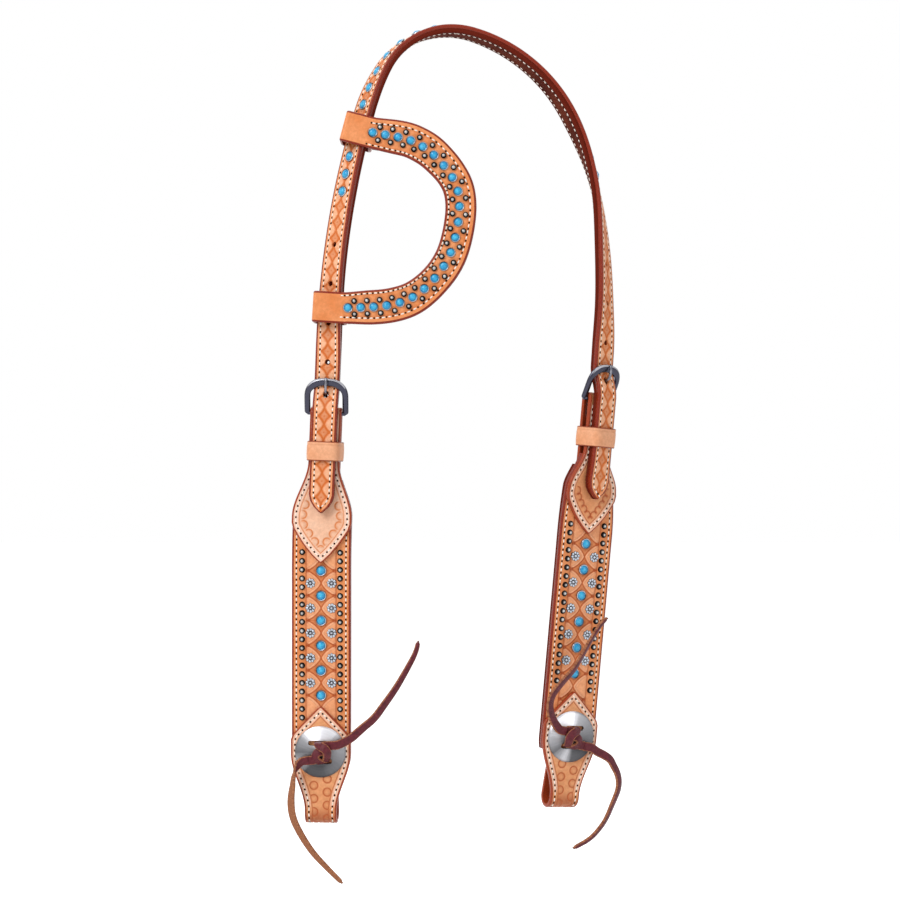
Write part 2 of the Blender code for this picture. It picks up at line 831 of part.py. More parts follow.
def make_top_billet(side, materials):
    """The spade overlay, whose neck folds back round the buckle's heel bar."""
    reach = SPADE_REACH[side]
    mid_level = (FRONT_LEAF_BACK + FRONT_LEAF_FACE) / 2
    fold_radius = mid_level - BAR_LEVEL
    fold_length = math.pi * fold_radius
    runs = ((reach, 0.0), (fold_length, -180.0), (BACK_LEAF_END, 0.0))
    half = LEAF_LEATHER / 2
    bm = plate(spade_outline(side, fold_length, BACK_LEAF_END), -half, half)
    round_rim(bm, half, EDGE_ROUND)
    creases = fold_stations(runs, (1, 8, 1))[2:-2]
    crease_side(bm, [reach - v for v in twist_places(side)] + creases, (0.0, reach - NECK_LENGTH))
    tool = bmesh.new()
    slot_length = fold_length + 2 * TONGUE_SLOT_REACH
    middle = (0.0, reach + fold_length / 2, 0.0)
    block(tool, middle, (TONGUE_SLOT_WIDTH, slot_length, LEAF_LEATHER + OVERRUN))
    bm = combined(bm, tool, "DIFFERENCE")
    path = chain_runs(runs, (reach, mid_level), -90.0, 1)

    def mapping(u, l, t):
        v, n = path(l, t)
        return side_place(side, u, v, n)

    bend(bm, mapping, side + "_top_billet", materials["overlay"])


def loop_runs():
    """The folded path of the bit end: down the front, round the open loop and up behind the cheek."""
    mid_front = (FRONT_LEAF_BACK + FRONT_LEAF_FACE) / 2
    mid_back = -GAP - LEAF_LEATHER / 2
    radius = (LOOP_DEPTH + LEAF_LEATHER) / 2
    front_length = LOOP_BOTTOM - LEAF_LEATHER / 2 - radius - BILLET_PEAK
    close = math.radians(LOOP_CLOSE_ANGLE)
    back_level = mid_front - radius * (1 + math.cos(close))
    ease = LOOP_CLOSE_RADIUS * (1 - math.cos(close))
    rise_length = (mid_back - back_level - ease) / math.sin(close)
    ease_length = LOOP_CLOSE_RADIUS * close
    bottom = (
        (front_length, 0.0),
        (radius * math.pi, 180.0),
        (radius * close, LOOP_CLOSE_ANGLE),
        (rise_length, 0.0),
        (ease_length, -LOOP_CLOSE_ANGLE),
    )
    total = sum(length for length, angle in bottom)
    v = BILLET_PEAK + follow(bottom, 0.0, 90.0, total)[0]
    return bottom + ((v - LOOP_BACK_END, 0.0),), mid_front


def billet_outline(side, total):
    """The bit billet laid flat, from the pointed peak down, and its back leaf."""
    half = CHEEK_WIDTH / 2
    tip = [(half * w, BILLET_POINT * t) for t, w in PEAK_SHARES]
    taper = [
        (half_width(side, v), v - BILLET_PEAK)
        for v in flare_places(side, TAPER_START, TAPER_START + TAPER_RUN, 6)
    ]
    return mirrored(tip + taper + [(BIT_END_WIDTH / 2, total)])


def make_bit_billet(side, materials):
    """The lower overlay, which folds into the loop that carries the bit."""
    runs, mid_front = loop_runs()
    total = sum(length for length, angle in runs)
    half = LEAF_LEATHER / 2
    bm = plate(billet_outline(side, total), -half, half)
    round_rim(bm, half, EDGE_ROUND)
    split(bm, 1, fold_stations(runs, (1, 7, 1, 1, 2, 1))[1:-1])
    tool = bmesh.new()
    for sign in (-1, 1):
        v = CONCHO_PLACE + sign * CONCHO_SLOT_SPACING / 2
        for l in (v - BILLET_PEAK, total + LOOP_BACK_END - v):
            size = (
                THONG_WIDTH + 2 * THONG_SLOT_EXTRA,
                THONG_THICKNESS + 2 * THONG_SLOT_EXTRA,
                LEAF_LEATHER + OVERRUN,
            )
            block(tool, (0.0, l, 0.0), size)
    bm = combined(bm, tool, "DIFFERENCE")
    path = chain_runs(runs, (BILLET_PEAK, mid_front), 90.0, -1)

    def mapping(u, l, t):
        v, n = path(l, t)
        return side_place(side, u, v, n)

    bend(bm, mapping, side + "_bit_billet", materials["overlay"])


def wrap(points, radius, steps):
    """The outline of a band pulled round a set of points at a distance from them."""
    cloud = []
    for x, y in points:
        for k in range(steps):
            angle = math.tau * (k + 1 / 2) / steps
            cloud.append((x + radius * math.cos(angle), y + radius * math.sin(angle)))
    cloud.sort()

    def chain(ordered):
        kept = []
        for point in ordered:
            while len(kept) > 1:
                (ax, ay), (bx, by) = kept[-2], kept[-1]
                turn = (bx - ax) * (point[1] - ay) - (by - ay) * (point[0] - ax)
                if turn > 0:
                    break
                kept.pop()
            kept.append(point)
        return kept[:-1]

    return chain(cloud) + chain(list(reversed(cloud)))


def ring(inner, outer, length):
    """A leather loop: the space between two outlines, drawn out along z about its middle."""
    bm = plate(outer, -length / 2, length / 2)
    tool = plate(inner, -length / 2 - OVERRUN, length / 2 + OVERRUN)
    return combined(bm, tool, "DIFFERENCE")


def make_keeper(side, materials):
    """The loose leather keeper that holds the strap's end against the chape."""
    half = NECK_WIDTH / 2
    corners = [(-half, 0.0), (half, 0.0), (-half, STRAP_FACE), (half, STRAP_FACE)]
    corners = [(x, z - STRAP_FACE / 2) for x, z in corners]
    bm = ring(wrap(corners, GAP, 12), wrap(corners, GAP + KEEPER_LEATHER, 12), KEEPER_LENGTH)
    item = add_object(side + "_keeper", mesh_of(bm, "keeper"), materials["plain"])
    v = KEEPER_TOP + KEEPER_LENGTH / 2
    standing = Matrix.Rotation(math.radians(90), 4, "X")
    item.matrix_world = side_matrix(side, v, STRAP_FACE / 2) @ standing


def frame_tilt():
    """The lean of the buckle frame, which carries its arch over the face of the strap."""
    inner = FRAME_REACH - FRAME_BAR / 2
    strap_front = SIDE_LEVEL + lift_at(inner) + STRAP_THICKNESS / 2
    rise = strap_front + RUNNING_GAP + FRAME_THICKNESS / 2 - BAR_LEVEL
    return math.asin(rise / inner) + math.asin(GAP / inner)


def frame_path():
    """The middle line of the buckle's D, from one heel end over the arch to the other."""
    half = (FRAME_INSIDE + FRAME_BAR) / 2
    start = FRAME_REACH - FRAME_ARCH
    steps = 12
    arch = []
    for k in range(steps + 1):
        angle = math.pi * k / steps
        x = half * math.copysign(abs(math.cos(angle)) ** FRAME_CORNER_SHARE, math.cos(angle))
        arch.append((x, start + FRAME_ARCH * math.sin(angle) ** FRAME_CORNER_SHARE))
    return [(half, -FRAME_HEEL_REACH)] + arch + [(-half, -FRAME_HEEL_REACH)]


def swept(points, width, thickness, bevel):
    """A flat bar with eased corners, drawn along points in the plane of x and y and mitred at each."""
    bm = bmesh.new()
    half_w, half_t = width / 2, thickness / 2
    section = [
        (half_w, half_t - bevel),
        (half_w - bevel, half_t),
        (bevel - half_w, half_t),
        (-half_w, half_t - bevel),
        (-half_w, bevel - half_t),
        (bevel - half_w, -half_t),
        (half_w - bevel, -half_t),
        (half_w, bevel - half_t),
    ]
    ways = [
        Vector((b[0] - a[0], b[1] - a[1], 0.0)).normalized() for a, b in zip(points, points[1:])
    ]
    rings = []
    for k, (x, y) in enumerate(points):
        before, after = ways[max(k - 1, 0)], ways[min(k, len(ways) - 1)]
        along = (before + after).normalized()
        reach = 1 / along.dot(after)
        across = Vector((along.y, -along.x, 0.0)) * reach
        spot = Vector((x, y, 0.0))
        rings.append([bm.verts.new(spot + across * a + Vector((0.0, 0.0, b))) for a, b in section])
    for lower, upper in zip(rings, rings[1:]):
        for k in range(len(section)):
            after = (k + 1) % len(section)
            bm.faces.new((lower[k], lower[after], upper[after], upper[k]))
    bm.faces.new(rings[0])
    bm.faces.new(list(reversed(rings[-1])))
    bmesh.ops.recalc_face_normals(bm, faces=bm.faces)
    return bm


def make_buckle_frame(side, materials):
    """The horseshoe buckle: a flat bevelled D with a round heel bar."""
    bm = swept(frame_path(), FRAME_BAR, FRAME_THICKNESS, FRAME_BEVEL)
    tool = bmesh.new()
    tilt = frame_tilt()
    turn = Matrix.Rotation(math.radians(90), 4, "Y")
    bar = Matrix.Diagonal((BAR_DIAMETER / 2, BAR_DIAMETER / 2, FRAME_INSIDE + FRAME_BAR, 1.0))
    bmesh.ops.create_cone(
        tool, cap_ends=True, segments=12, radius1=1, radius2=1, depth=1, matrix=turn @ bar
    )
    bm = combined(bm, tool, "UNION")
    notch = bmesh.new()
    block(
        notch,
        (0.0, FRAME_REACH, FRAME_THICKNESS / 2),
        (NOTCH_WIDTH, FRAME_BAR + OVERRUN, 2 * NOTCH_DEPTH),
    )
    bm = combined(bm, notch, "DIFFERENCE")
    item = add_object(side + "_buckle_frame", mesh_of(bm, "frame"), materials["buckle"])
    lean = Matrix.Rotation(tilt, 4, "X")
    item.matrix_world = side_matrix(side, 0.0, BAR_LEVEL) @ lean


def tongue_path():
    """The tongue's middle line in the plane of the strap's length and its face, from the heel bar."""
    ring_radius = BAR_DIAMETER / 2 + GAP + TONGUE_RING
    tilt = frame_tilt()
    arch_face = FRAME_REACH * math.sin(tilt) + FRAME_THICKNESS / 2 * math.cos(tilt)
    rest = arch_face + FRAME_BAR / 2 * math.sin(tilt) - NOTCH_DEPTH * math.cos(tilt)
    rest += TONGUE_THICKNESS / 2 + GAP
    strap_mid = SIDE_LEVEL + lift_at(TONGUE_HOLE) - BAR_LEVEL
    lean = STRAP_THICKNESS * TONGUE_LEAN_SHARE
    arch = FRAME_REACH * math.cos(tilt)
    return [
        (ring_radius / 2, 0.0),
        (TONGUE_HOLE - lean - TONGUE_THICKNESS, 0.0),
        *(
            (TONGUE_HOLE + lean * up, strap_mid + STRAP_THICKNESS * out)
            for up, out in TONGUE_PASS_SHARES
        ),
        (arch - FRAME_BAR, rest),
        (arch + TONGUE_PAST_ARCH, rest),
    ]


def make_tongue(side, materials):
    """The tongue, whose eye turns on the heel bar."""
    points = tongue_path()
    bm = swept(points, TONGUE_THICKNESS, TONGUE_WIDTH, TONGUE_WIDTH / 5)
    eye = bmesh.new()
    outer = BAR_DIAMETER / 2 + GAP + TONGUE_RING
    length = TONGUE_SLOT_WIDTH - 2 * GAP
    bmesh.ops.create_cone(
        eye,
        cap_ends=True,
        segments=16,
        radius1=1,
        radius2=1,
        depth=1,
        matrix=Matrix.Diagonal((outer, outer, length, 1.0)),
    )
    bm = combined(bm, eye, "UNION")
    bore = bmesh.new()
    inner = BAR_DIAMETER / 2 + GAP
    bmesh.ops.create_cone(
        bore,
        cap_ends=True,
        segments=16,
        radius1=1,
        radius2=1,
        depth=1,
        matrix=Matrix.Diagonal((inner, inner, length + OVERRUN, 1.0)),
    )
    bm = combined(bm, bore, "DIFFERENCE")
    item = add_object(side + "_buckle_tongue", mesh_of(bm, "tongue"), materials["buckle"])
    # x of the drawing runs up the strap and y out of it
    drawing = Matrix(((0, 0, 1, 0), (1, 0, 0, 0), (0, 1, 0, 0), (0, 0, 0, 1)))
    item.matrix_world = side_matrix(side, 0.0, BAR_LEVEL) @ drawing


def make_concho(side, materials):
    """The domed, two slotted concho."""
    radius = CONCHO_DIAMETER / 2
    steps = 5
    outer = []
    for k in range(steps + 1):
        reach = radius * k / steps
        outer.append((reach, CONCHO_METAL + CONCHO_RISE * (1 - (k / steps) ** 2)))
    inner = [
        (reach, height - CONCHO_METAL * (CONCHO_WALL_SHARE if reach < radius else 1))
        for reach, height in reversed(outer)
    ]
    profile = outer + inner[1:]
    bm = bmesh.new()
    verts = [bm.verts.new((x, 0.0, z)) for x, z in profile]
    rim = bm.verts.new((radius, 0.0, 0.0))
    chain = verts[: steps + 1] + [rim] + verts[steps + 1 :]
    for before, after in zip(chain, chain[1:]):
        bm.edges.new((before, after))
    item = add_object(side + "_concho", mesh_of(bm, "concho"), materials["steel"])
    screw = item.modifiers.new("turned", "SCREW")
    screw.steps = 24
    screw.render_steps = 24
    screw.use_merge_vertices = True
    screw.merge_threshold = 0.00001
    cutter_mesh = bmesh.new()
    for sign in (-1, 1):
        y = sign * CONCHO_SLOT_SPACING / 2
        size = (CONCHO_SLOT_LENGTH, CONCHO_SLOT_WIDTH, CONCHO_METAL + CONCHO_RISE + OVERRUN)
        block(cutter_mesh, (0.0, y, 0.0), size)
    cutter = bpy.data.objects.new(side + "_concho_slots", mesh_of(cutter_mesh, "slots"))
    CUTTERS.objects.link(cutter)
    cutter.hide_render = True
    cutter.display_type = "WIRE"
    slots = item.modifiers.new("slots", "BOOLEAN")
    slots.operation = "DIFFERENCE"
    slots.solver = "EXACT"
    slots.object = cutter
    frame = side_matrix(side, CONCHO_PLACE, STRAP_BACK)
    item.matrix_world = frame
    cutter.matrix_world = frame


def knot_levels():
    """The middle of the tie behind the leather, on the concho, and at the top of the knot."""
    half = THONG_THICKNESS / 2
    back = -GAP - LEAF_LEATHER - GAP - half
    front = STRAP_BACK + CONCHO_METAL + CONCHO_RISE + GAP + half
    return back, front, front + KNOT_RISE


def make_knot(side, materials):
    """The tie: a thong through both slots and all the leather, knotted on the concho."""
    back, front, top = knot_levels()
    spread = CONCHO_SLOT_SPACING / 2
    base = (back + front) / 2
    legs = [(-spread, top), (-spread, back), (spread, back), (spread, top)]
    points = [(x, y - base) for x, y in legs]
    bm = swept(points, THONG_THICKNESS, THONG_WIDTH, THONG_THICKNESS / 4)
    knot = bmesh.new()
    size = (CONCHO_SLOT_SPACING + THONG_THICKNESS + GAP, top - front + THONG_THICKNESS, KNOT_WIDTH)
    block(knot, (0.0, (front + top) / 2 - base, 0.0), size)
    bmesh.ops.bevel(
        knot, geom=knot.edges[:], offset=THONG_THICKNESS / 2, segments=2, affect="EDGES"
    )
    bm = combined(bm, knot, "UNION")
    item = add_object(side + "_thong_knot", mesh_of(bm, "knot"), materials["thong"])
    # x of the drawing runs up the cheek and y out of it
    drawing = Matrix(((0, 0, 1, 0), (1, 0, 0, 0), (0, 1, 0, 0), (0, 0, 0, 1)))
    item.matrix_world = side_matrix(side, CONCHO_PLACE, base) @ drawing


def ear_pivot():
    """The middle of the arc that the strap follows under the ear piece, which slides round it."""
    heading = math.radians(spine_point(LEFT_RISE)[2])
    radius = EAR_RUN / math.radians(EAR_TURN)
    start = spine_origin(LEFT_RISE)
    return start + Vector((math.cos(heading), 0.0, -math.sin(heading))) * radius


def strap_reach(at):
    """Half the room the turned strap takes inside an ear loop, across it and from back to front."""
    across, deep = 0.0, 0.0
    low = at - EAR_LOOP_LENGTH / 2 - EAR_TRAVEL_DOWN
    high = at + EAR_LOOP_LENGTH / 2 + EAR_TRAVEL_UP
    steps = 16
    for k in range(steps + 1):
        roll = math.radians(roll_at(low + (high - low) * k / steps))
        half_w, half_t = STRAP_WIDTH / 2, STRAP_THICKNESS / 2
        across = max(across, half_w * math.cos(roll) + half_t * math.sin(roll))
        deep = max(deep, half_w * math.sin(roll) + half_t * math.cos(roll))
    return across, deep


def ear_loop_frame(at):
    """x across the strap towards the ear, y out to the front and z down the strap, at an ear loop's middle."""
    along = axes_at(at)[0]
    front = Vector((0.0, -1.0, 0.0))
    turned = Matrix((along.cross(front), front, -along)).transposed().to_4x4()
    return Matrix.Translation(spine_origin(at)) @ turned


def smooth_line(points, steps):
    """More points on a smooth curve through the given ones."""
    first = [2 * a - b for a, b in zip(points[0], points[1])]
    last = [2 * a - b for a, b in zip(points[-1], points[-2])]
    ends = [tuple(first)] + list(points) + [tuple(last)]
    line = []
    for k in range(1, len(ends) - 2):
        p, q, r, w = ends[k - 1 : k + 3]
        for step in range(steps):
            t = step / steps
            line.append(
                tuple(
                    (
                        2 * b
                        + (c - a) * t
                        + (2 * a - 5 * b + 4 * c - d) * t * t
                        + (3 * b - a - 3 * c + d) * t**3
                    )
                    / 2
                    for a, b, c, d in zip(p, q, r, w)
                )
            )
    return line + [tuple(points[-1])]


def ear_join(at, extra):
    """A place on the band's middle line beyond the side wall of an ear loop, in the plane of the band."""
    reach = strap_reach(at)[0] + EAR_LOOP_SLACK + GAP + extra
    spot = ear_loop_frame(at) @ Vector((reach, 0.0, 0.0))
    return spot.x, spot.z


def ear_line(extra):
    """The middle line of the ear band, from the upper loop round the ear to the lower one."""
    upper, lower = (spine_origin(at) for at in EAR_PLACES)
    down = lower - upper
    out = Vector((0.0, -1.0, 0.0)).cross(down).normalized()
    joins = [ear_join(at, extra) for at in EAR_PLACES]
    leads = [ear_join(at, extra + EAR_LEAD) for at in EAR_PLACES]
    bow = []
    for share_out, share_down in EAR_LINE_SHARES:
        spot = upper + down * share_down + out * EAR_REACH * share_out
        bow.append((spot.x, spot.z))
    return smooth_line([joins[0], leads[0]] + bow + [leads[1], joins[1]], 3)


def ear_outline(extra):
    """The band's outline, with straight ends square to the strap."""
    line = ear_line(extra)
    sides = ([], [])
    for k, (x, z) in enumerate(line):
        before = line[max(k - 1, 0)]
        after = line[min(k + 1, len(line) - 1)]
        along = Vector((after[0] - before[0], after[1] - before[1])).normalized()
        for side, sign in zip(sides, (1, -1)):
            offset = sign * EAR_WIDTH / 2
            side.append((x - along.y * offset, z + along.x * offset))
    return sides[0] + list(reversed(sides[1]))


def spread_along(line, start, count):
    """Equal places along a line, each with its direction, leaving the same room at both ends."""
    lengths = [math.dist(a, b) for a, b in zip(line, line[1:])]
    total = sum(lengths)
    found = []
    for k in range(count):
        left = start + (total - 2 * start) * k / (count - 1)
        i = 0
        while i < len(lengths) - 1 and left > lengths[i]:
            left -= lengths[i]
            i += 1
        a, b = Vector(line[i]), Vector(line[i + 1])
        found.append((a + (b - a) * left / lengths[i], (b - a).normalized()))
    return found


def make_ear(materials):
    """The ear piece: a studded band with a leather loop at each end, and its lining."""
    deep = max(strap_reach(at)[1] for at in EAR_PLACES)
    front = deep + EAR_LOOP_SLACK + EAR_LOOP_LEATHER - EAR_SET_BACK
    back = front - EAR_FACE_LEATHER
    # the band is drawn in the plane of x and z and stands out to the front
    drawing = Matrix(((1, 0, 0, 0), (0, 0, -1, 0), (0, 1, 0, 0), (0, 0, 0, 1)))
    face = plate(ear_outline(0.0), back, front)
    round_rim(face, front, EDGE_ROUND)
    studs = bmesh.new()
    places = spread_along(ear_line(0.0), EAR_STUD_END, 2 * EAR_STUD_COUNT - 1)
    for k, (spot, along) in enumerate(places):
        if k % 2 == 0:
            dome(studs, tuple(spot), EAR_TURQUOISE_DIAMETER, TURQUOISE_HEIGHT, front, 8)
            continue
        for sign in (-1, 1):
            aside = spot + Vector((-along.y, along.x)) * sign * EAR_SPOT_OFFSET
            dome(studs, tuple(aside), EAR_SPOT_DIAMETER, SPOT_HEIGHT, front, 6)
    face = combined(face, studs, "UNION")
    bmesh.ops.transform(face, matrix=drawing, verts=face.verts)
    for at in EAR_PLACES:
        across, own_deep = strap_reach(at)
        corners = [(x, y) for x in (-across, across) for y in (-own_deep, deep)]
        inner = wrap(corners, EAR_LOOP_SLACK, 16)
        outer = wrap(corners, EAR_LOOP_SLACK + EAR_LOOP_LEATHER, 16)
        loop = ring(inner, outer, EAR_LOOP_LENGTH)
        bmesh.ops.transform(loop, matrix=ear_loop_frame(at), verts=loop.verts)
        face = combined(face, loop, "UNION")
    beyond = EAR_LOOP_LEATHER
    lining = plate(ear_outline(beyond), back - GAP - EAR_LINING_LEATHER, back - GAP)
    bmesh.ops.transform(lining, matrix=drawing, verts=lining.verts)
    pivot = bpy.data.objects.new("ear_pivot", None)
    PARTS.objects.link(pivot)
    pivot.matrix_world = Matrix.Translation(ear_pivot())
    for bm, name, material in (
        (face, "ear_face", materials["tooled"]),
        (lining, "ear_lining", materials["lining"]),
    ):
        bmesh.ops.translate(bm, verts=bm.verts, vec=-ear_pivot())
        item = bend(bm, lambda x, y, z: Vector((x, y, z)), name, material)
        item.parent = pivot


def make_tails(materials):
    """The free ends of the two ties: flat laces that taper to their tips."""
    back, front, top = knot_levels()
    level = (front + top) / 2
    for name, shares in TAIL_SHARES.items():
        side = name.split("_")[0]
        mirror = 1 if side == "left" else -1
        way, height = shares[0][:2]
        points = [
            (mirror * math.copysign(KNOT_WIDTH / 2 + GAP + run, way), -height * THONG_LENGTH, 0.0)
            for run in (0.0, KNOT_EXIT_RUN / 2, KNOT_EXIT_RUN)
        ]
        points += [
            (mirror * u * THONG_LENGTH, -v * THONG_LENGTH, n * THONG_LENGTH)
            for u, v, n in shares[1:]
        ]
        line = smooth_line(points, 4)
        line = [tuple(spot) for spot, along in spread_along(line, 0.0, THONG_POINTS)]
        curve = bpy.data.curves.new(name, "CURVE")
        curve.dimensions = "3D"
        curve.twist_mode = "Z_UP"
        curve.extrude = (THONG_WIDTH - THONG_THICKNESS) / 2
        curve.bevel_depth = THONG_THICKNESS / 2
        curve.bevel_resolution = 2
        curve.use_fill_caps = True
        spline = curve.splines.new("POLY")
        spline.points.add(len(line) - 1)
        for k, (point, spot) in enumerate(zip(spline.points, line)):
            point.co = (*spot, 1.0)
            point.tilt = math.radians(90)
            point.radius = 1 - (1 - THONG_TIP_SHARE) * (k / (len(line) - 1)) ** 2
        item = bpy.data.objects.new(name, curve)
        PARTS.objects.link(item)
        curve.materials.append(materials["thong"])
        item.matrix_world = side_matrix(side, CONCHO_PLACE, level)


def main():
    clear_scene()
    global PARTS, CUTTERS
    PARTS = new_collection(OBJECT_NAME)
    CUTTERS = new_collection(OBJECT_NAME + "_cutters")
    materials = {
        "tooled": finish("tooled_leather", (0.72, 0.34, 0.13), 0.42, 0.0),
        "overlay": finish("overlay_leather", (0.76, 0.38, 0.17), 0.42, 0.0),
        "plain": finish("plain_leather", (0.80, 0.42, 0.22), 0.45, 0.0),
        "lining": finish("lining_leather", (0.13, 0.025, 0.018), 0.5, 0.0),
        "thong": finish("thong_leather", (0.17, 0.015, 0.03), 0.4, 0.0),
        "buckle": finish("buckle_metal", (0.10, 0.09, 0.12), 0.3, 1.0),
        "steel": finish("brushed_steel", (0.55, 0.55, 0.58), 0.3, 1.0),
    }
    make_crown(materials)
    make_ear(materials)
    make_tails(materials)
    for side in SIDES:
        make_cheek(side, materials)
        make_top_billet(side, materials)
        make_bit_billet(side, materials)
        make_keeper(side, materials)
        make_buckle_frame(side, materials)
        make_tongue(side, materials)
        make_concho(side, materials)
        make_knot(side, materials)


main()
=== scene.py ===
"""The western one ear headstall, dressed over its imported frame.

Leather is laid out flat, tooled there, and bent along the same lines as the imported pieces.
"""

import math

import bmesh
import bpy
import numpy as np
from mathutils import Matrix, Vector


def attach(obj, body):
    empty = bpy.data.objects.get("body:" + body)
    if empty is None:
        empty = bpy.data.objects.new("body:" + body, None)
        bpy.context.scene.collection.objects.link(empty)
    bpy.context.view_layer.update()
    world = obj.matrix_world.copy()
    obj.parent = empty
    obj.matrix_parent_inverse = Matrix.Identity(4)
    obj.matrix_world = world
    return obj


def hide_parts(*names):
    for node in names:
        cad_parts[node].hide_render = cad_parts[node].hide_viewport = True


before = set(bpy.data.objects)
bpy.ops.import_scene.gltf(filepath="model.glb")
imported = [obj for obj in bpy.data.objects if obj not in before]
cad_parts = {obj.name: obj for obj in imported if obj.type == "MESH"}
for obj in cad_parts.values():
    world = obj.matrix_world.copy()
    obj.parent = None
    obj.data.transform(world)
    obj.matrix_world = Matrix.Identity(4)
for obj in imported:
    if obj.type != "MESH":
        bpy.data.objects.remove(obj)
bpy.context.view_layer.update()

MM = 0.001
TINY = 1e-9
FRONT = Vector((0.0, -1.0, 0.0))
QUARTER_X = Matrix.Rotation(math.radians(90), 4, "X")

# The frame's own dimensions
GAP = 0.0003
RUNNING_GAP = 0.0006
STRAP_WIDTH = 0.016
FACE_LEATHER = 0.0027
LINING_LEATHER = 0.0024
STRAP_THICKNESS = LINING_LEATHER + GAP + FACE_LEATHER
CHEEK_DROP, SWAY_RUN, CHAPE_RUN = 0.205, 0.036, 0.064
LEFT_RISE, EAR_RUN = 0.055, 0.14
EAR_TURN = 14.0
RUNS = (
    (CHEEK_DROP, 0.0),
    (SWAY_RUN, 2.3),
    (CHAPE_RUN, 0.0),
    (LEFT_RISE, 0.0),
    (EAR_RUN, EAR_TURN),
    (0.03, 14.0), (0.015, 19.0), (0.05, 58.0), (0.08, 44.0), (0.07, 22.5), (0.087, 9.7),
    (0.03, 1.6),
    (CHAPE_RUN + SWAY_RUN + CHEEK_DROP, 0.0),
)
SPINE_START = -(CHEEK_DROP + SWAY_RUN + CHAPE_RUN)
CROWN_SPAN = sum(length for length, turn in RUNS[3:12])
ROLL_SHARES = (
    (0.047, 4.0), (0.1, 18.0), (0.17, 33.0), (0.26, 40.0), (0.36, 50.0), (0.4, 62.0),
    (0.44, 76.0), (0.49, 90.0), (0.61, 104.0), (0.67, 107.0), (0.74, 91.0), (0.83, 66.0),
    (0.89, 56.0), (0.945, 42.0),
)
LEAF_LEATHER = 0.0024
CHEEK_LEATHER = 0.0026
CHEEK_WIDTH = 0.0384
NECK_WIDTH = 0.02
BIT_END_WIDTH = 0.0205
BAR_DIAMETER = 0.0026
CHEEK_BACK = LEAF_LEATHER + GAP
CHEEK_FACE = CHEEK_BACK + CHEEK_LEATHER
FRONT_LEAF_BACK = CHEEK_FACE + GAP
FRONT_LEAF_FACE = FRONT_LEAF_BACK + LEAF_LEATHER
STRAP_BACK = FRONT_LEAF_FACE + GAP
STRAP_FACE = STRAP_BACK + STRAP_THICKNESS
BAR_LEVEL = (LEAF_LEATHER + FRONT_LEAF_BACK) / 2
STRAP_LIFT = 0.005
LIFT_START = -0.001
LIFT_RUN = 0.02
SIDE_LEVEL = STRAP_BACK + STRAP_THICKNESS / 2 - STRAP_LIFT
TAIL_LENGTH = 0.0635
SPADE_REACH = {"left": 0.0955, "right": 0.0860}
SPADE_POINT = 0.029
NECK_LENGTH = 0.0315
CHEEK_TOP = 0.035
BACK_LEAF_END = 0.042
BILLET_PEAK = 0.187
BILLET_POINT = 0.021
CHEEK_END = 0.224
TAPER_START = 0.217
TAPER_RUN = 0.036
CHEEK_TURN = {"left": 4.0, "right": 24.0}
SPADE_SHARES = (
    (0.0, 1.0), (0.13, 1.0), (0.25, 0.95), (0.42, 0.79),
    (0.6, 0.6), (0.8, 0.35), (0.94, 0.13), (1.0, 0.0),
)
PEAK_SHARES = ((0.0, 0.0), (0.05, 0.1), (0.3, 0.37), (0.6, 0.69), (0.85, 0.94), (1.0, 1.0))
TIP_SHARES = ((0.0, 0.0), (0.08, 0.2), (0.35, 0.6), (0.65, 0.87), (1.0, 1.0))
TIP_LENGTH = 0.0115
LOOP_DEPTH = 0.0096
LOOP_BOTTOM = 0.262
LOOP_CLOSE_ANGLE = 9.0
LOOP_CLOSE_RADIUS = 0.03
LOOP_BACK_END = 0.2
HOLE_DIAMETER = 0.0036
HOLE_PITCH = 0.025
TONGUE_HOLE = 0.0112
TONGUE_HOLE_LENGTH = 0.0052
HOLE_COUNT = {"left": 5, "right": 4}
NEXT_HOLE = {"left": 0.0325, "right": 0.0362}
TURQUOISE_DIAMETER = 0.0064
TURQUOISE_HEIGHT = 0.0017
SPOT_DIAMETER = 0.004
SPOT_HEIGHT = 0.0014
ROSETTE_DIAMETER = 0.0068
ROSETTE_HEIGHT = 0.0016
CROWN_STUD_PITCH = 0.01135
CROWN_STUD_FIRST = 0.1415
CROWN_STUD_COUNT = 25
FIELD_FIRST = {"left": 0.1005, "right": 0.0925}
FIELD_PITCH = {"left": 0.0159, "right": 0.0166}
FIELD_COUNT = 6
ROSETTE_OFFSET = 0.0068
SPOT_OFFSET = 0.0122
SPOT_PITCH = 0.00555
SPOT_COUNT = 20
SPOT_FIRST = {"left": 0.0888, "right": 0.0805}
FRAME_INSIDE = NECK_WIDTH + 2 * GAP
FRAME_BAR = 0.0038
FRAME_THICKNESS = 0.0022
FRAME_REACH = 0.0215
FRAME_ARCH = 0.0115
FRAME_HEEL_REACH = 0.0006
TONGUE_WIDTH = 0.0019
TONGUE_THICKNESS = 0.0017
TONGUE_RING = 0.0013
TONGUE_SLOT_WIDTH = 0.0034
TONGUE_SLOT_REACH = 0.0044
TONGUE_PAST_ARCH = 0.0022
NOTCH_WIDTH = 0.0022
NOTCH_DEPTH = 0.0006
KEEPER_LEATHER = 0.0018
KEEPER_LENGTH = 0.0125
KEEPER_TOP = 0.018
EAR_WIDTH = 0.0198
EAR_FACE_LEATHER = 0.0027
EAR_LINING_LEATHER = 0.0024
EAR_LOOP_LEATHER = 0.0018
EAR_LOOP_SLACK = 0.0006
EAR_LOOP_LENGTH = 0.02
EAR_PLACES = (0.1812, 0.067)
EAR_TRAVEL_UP = 0.008
EAR_TRAVEL_DOWN = 0.012
EAR_REACH = 0.0727
EAR_TURQUOISE_DIAMETER = 0.0056
EAR_STUD_COUNT = 22
EAR_STONE_ENDS = (0.0007, 0.0023)
EAR_STONE_SPREAD = 0.11
EAR_STONE_LEAN = 0.001
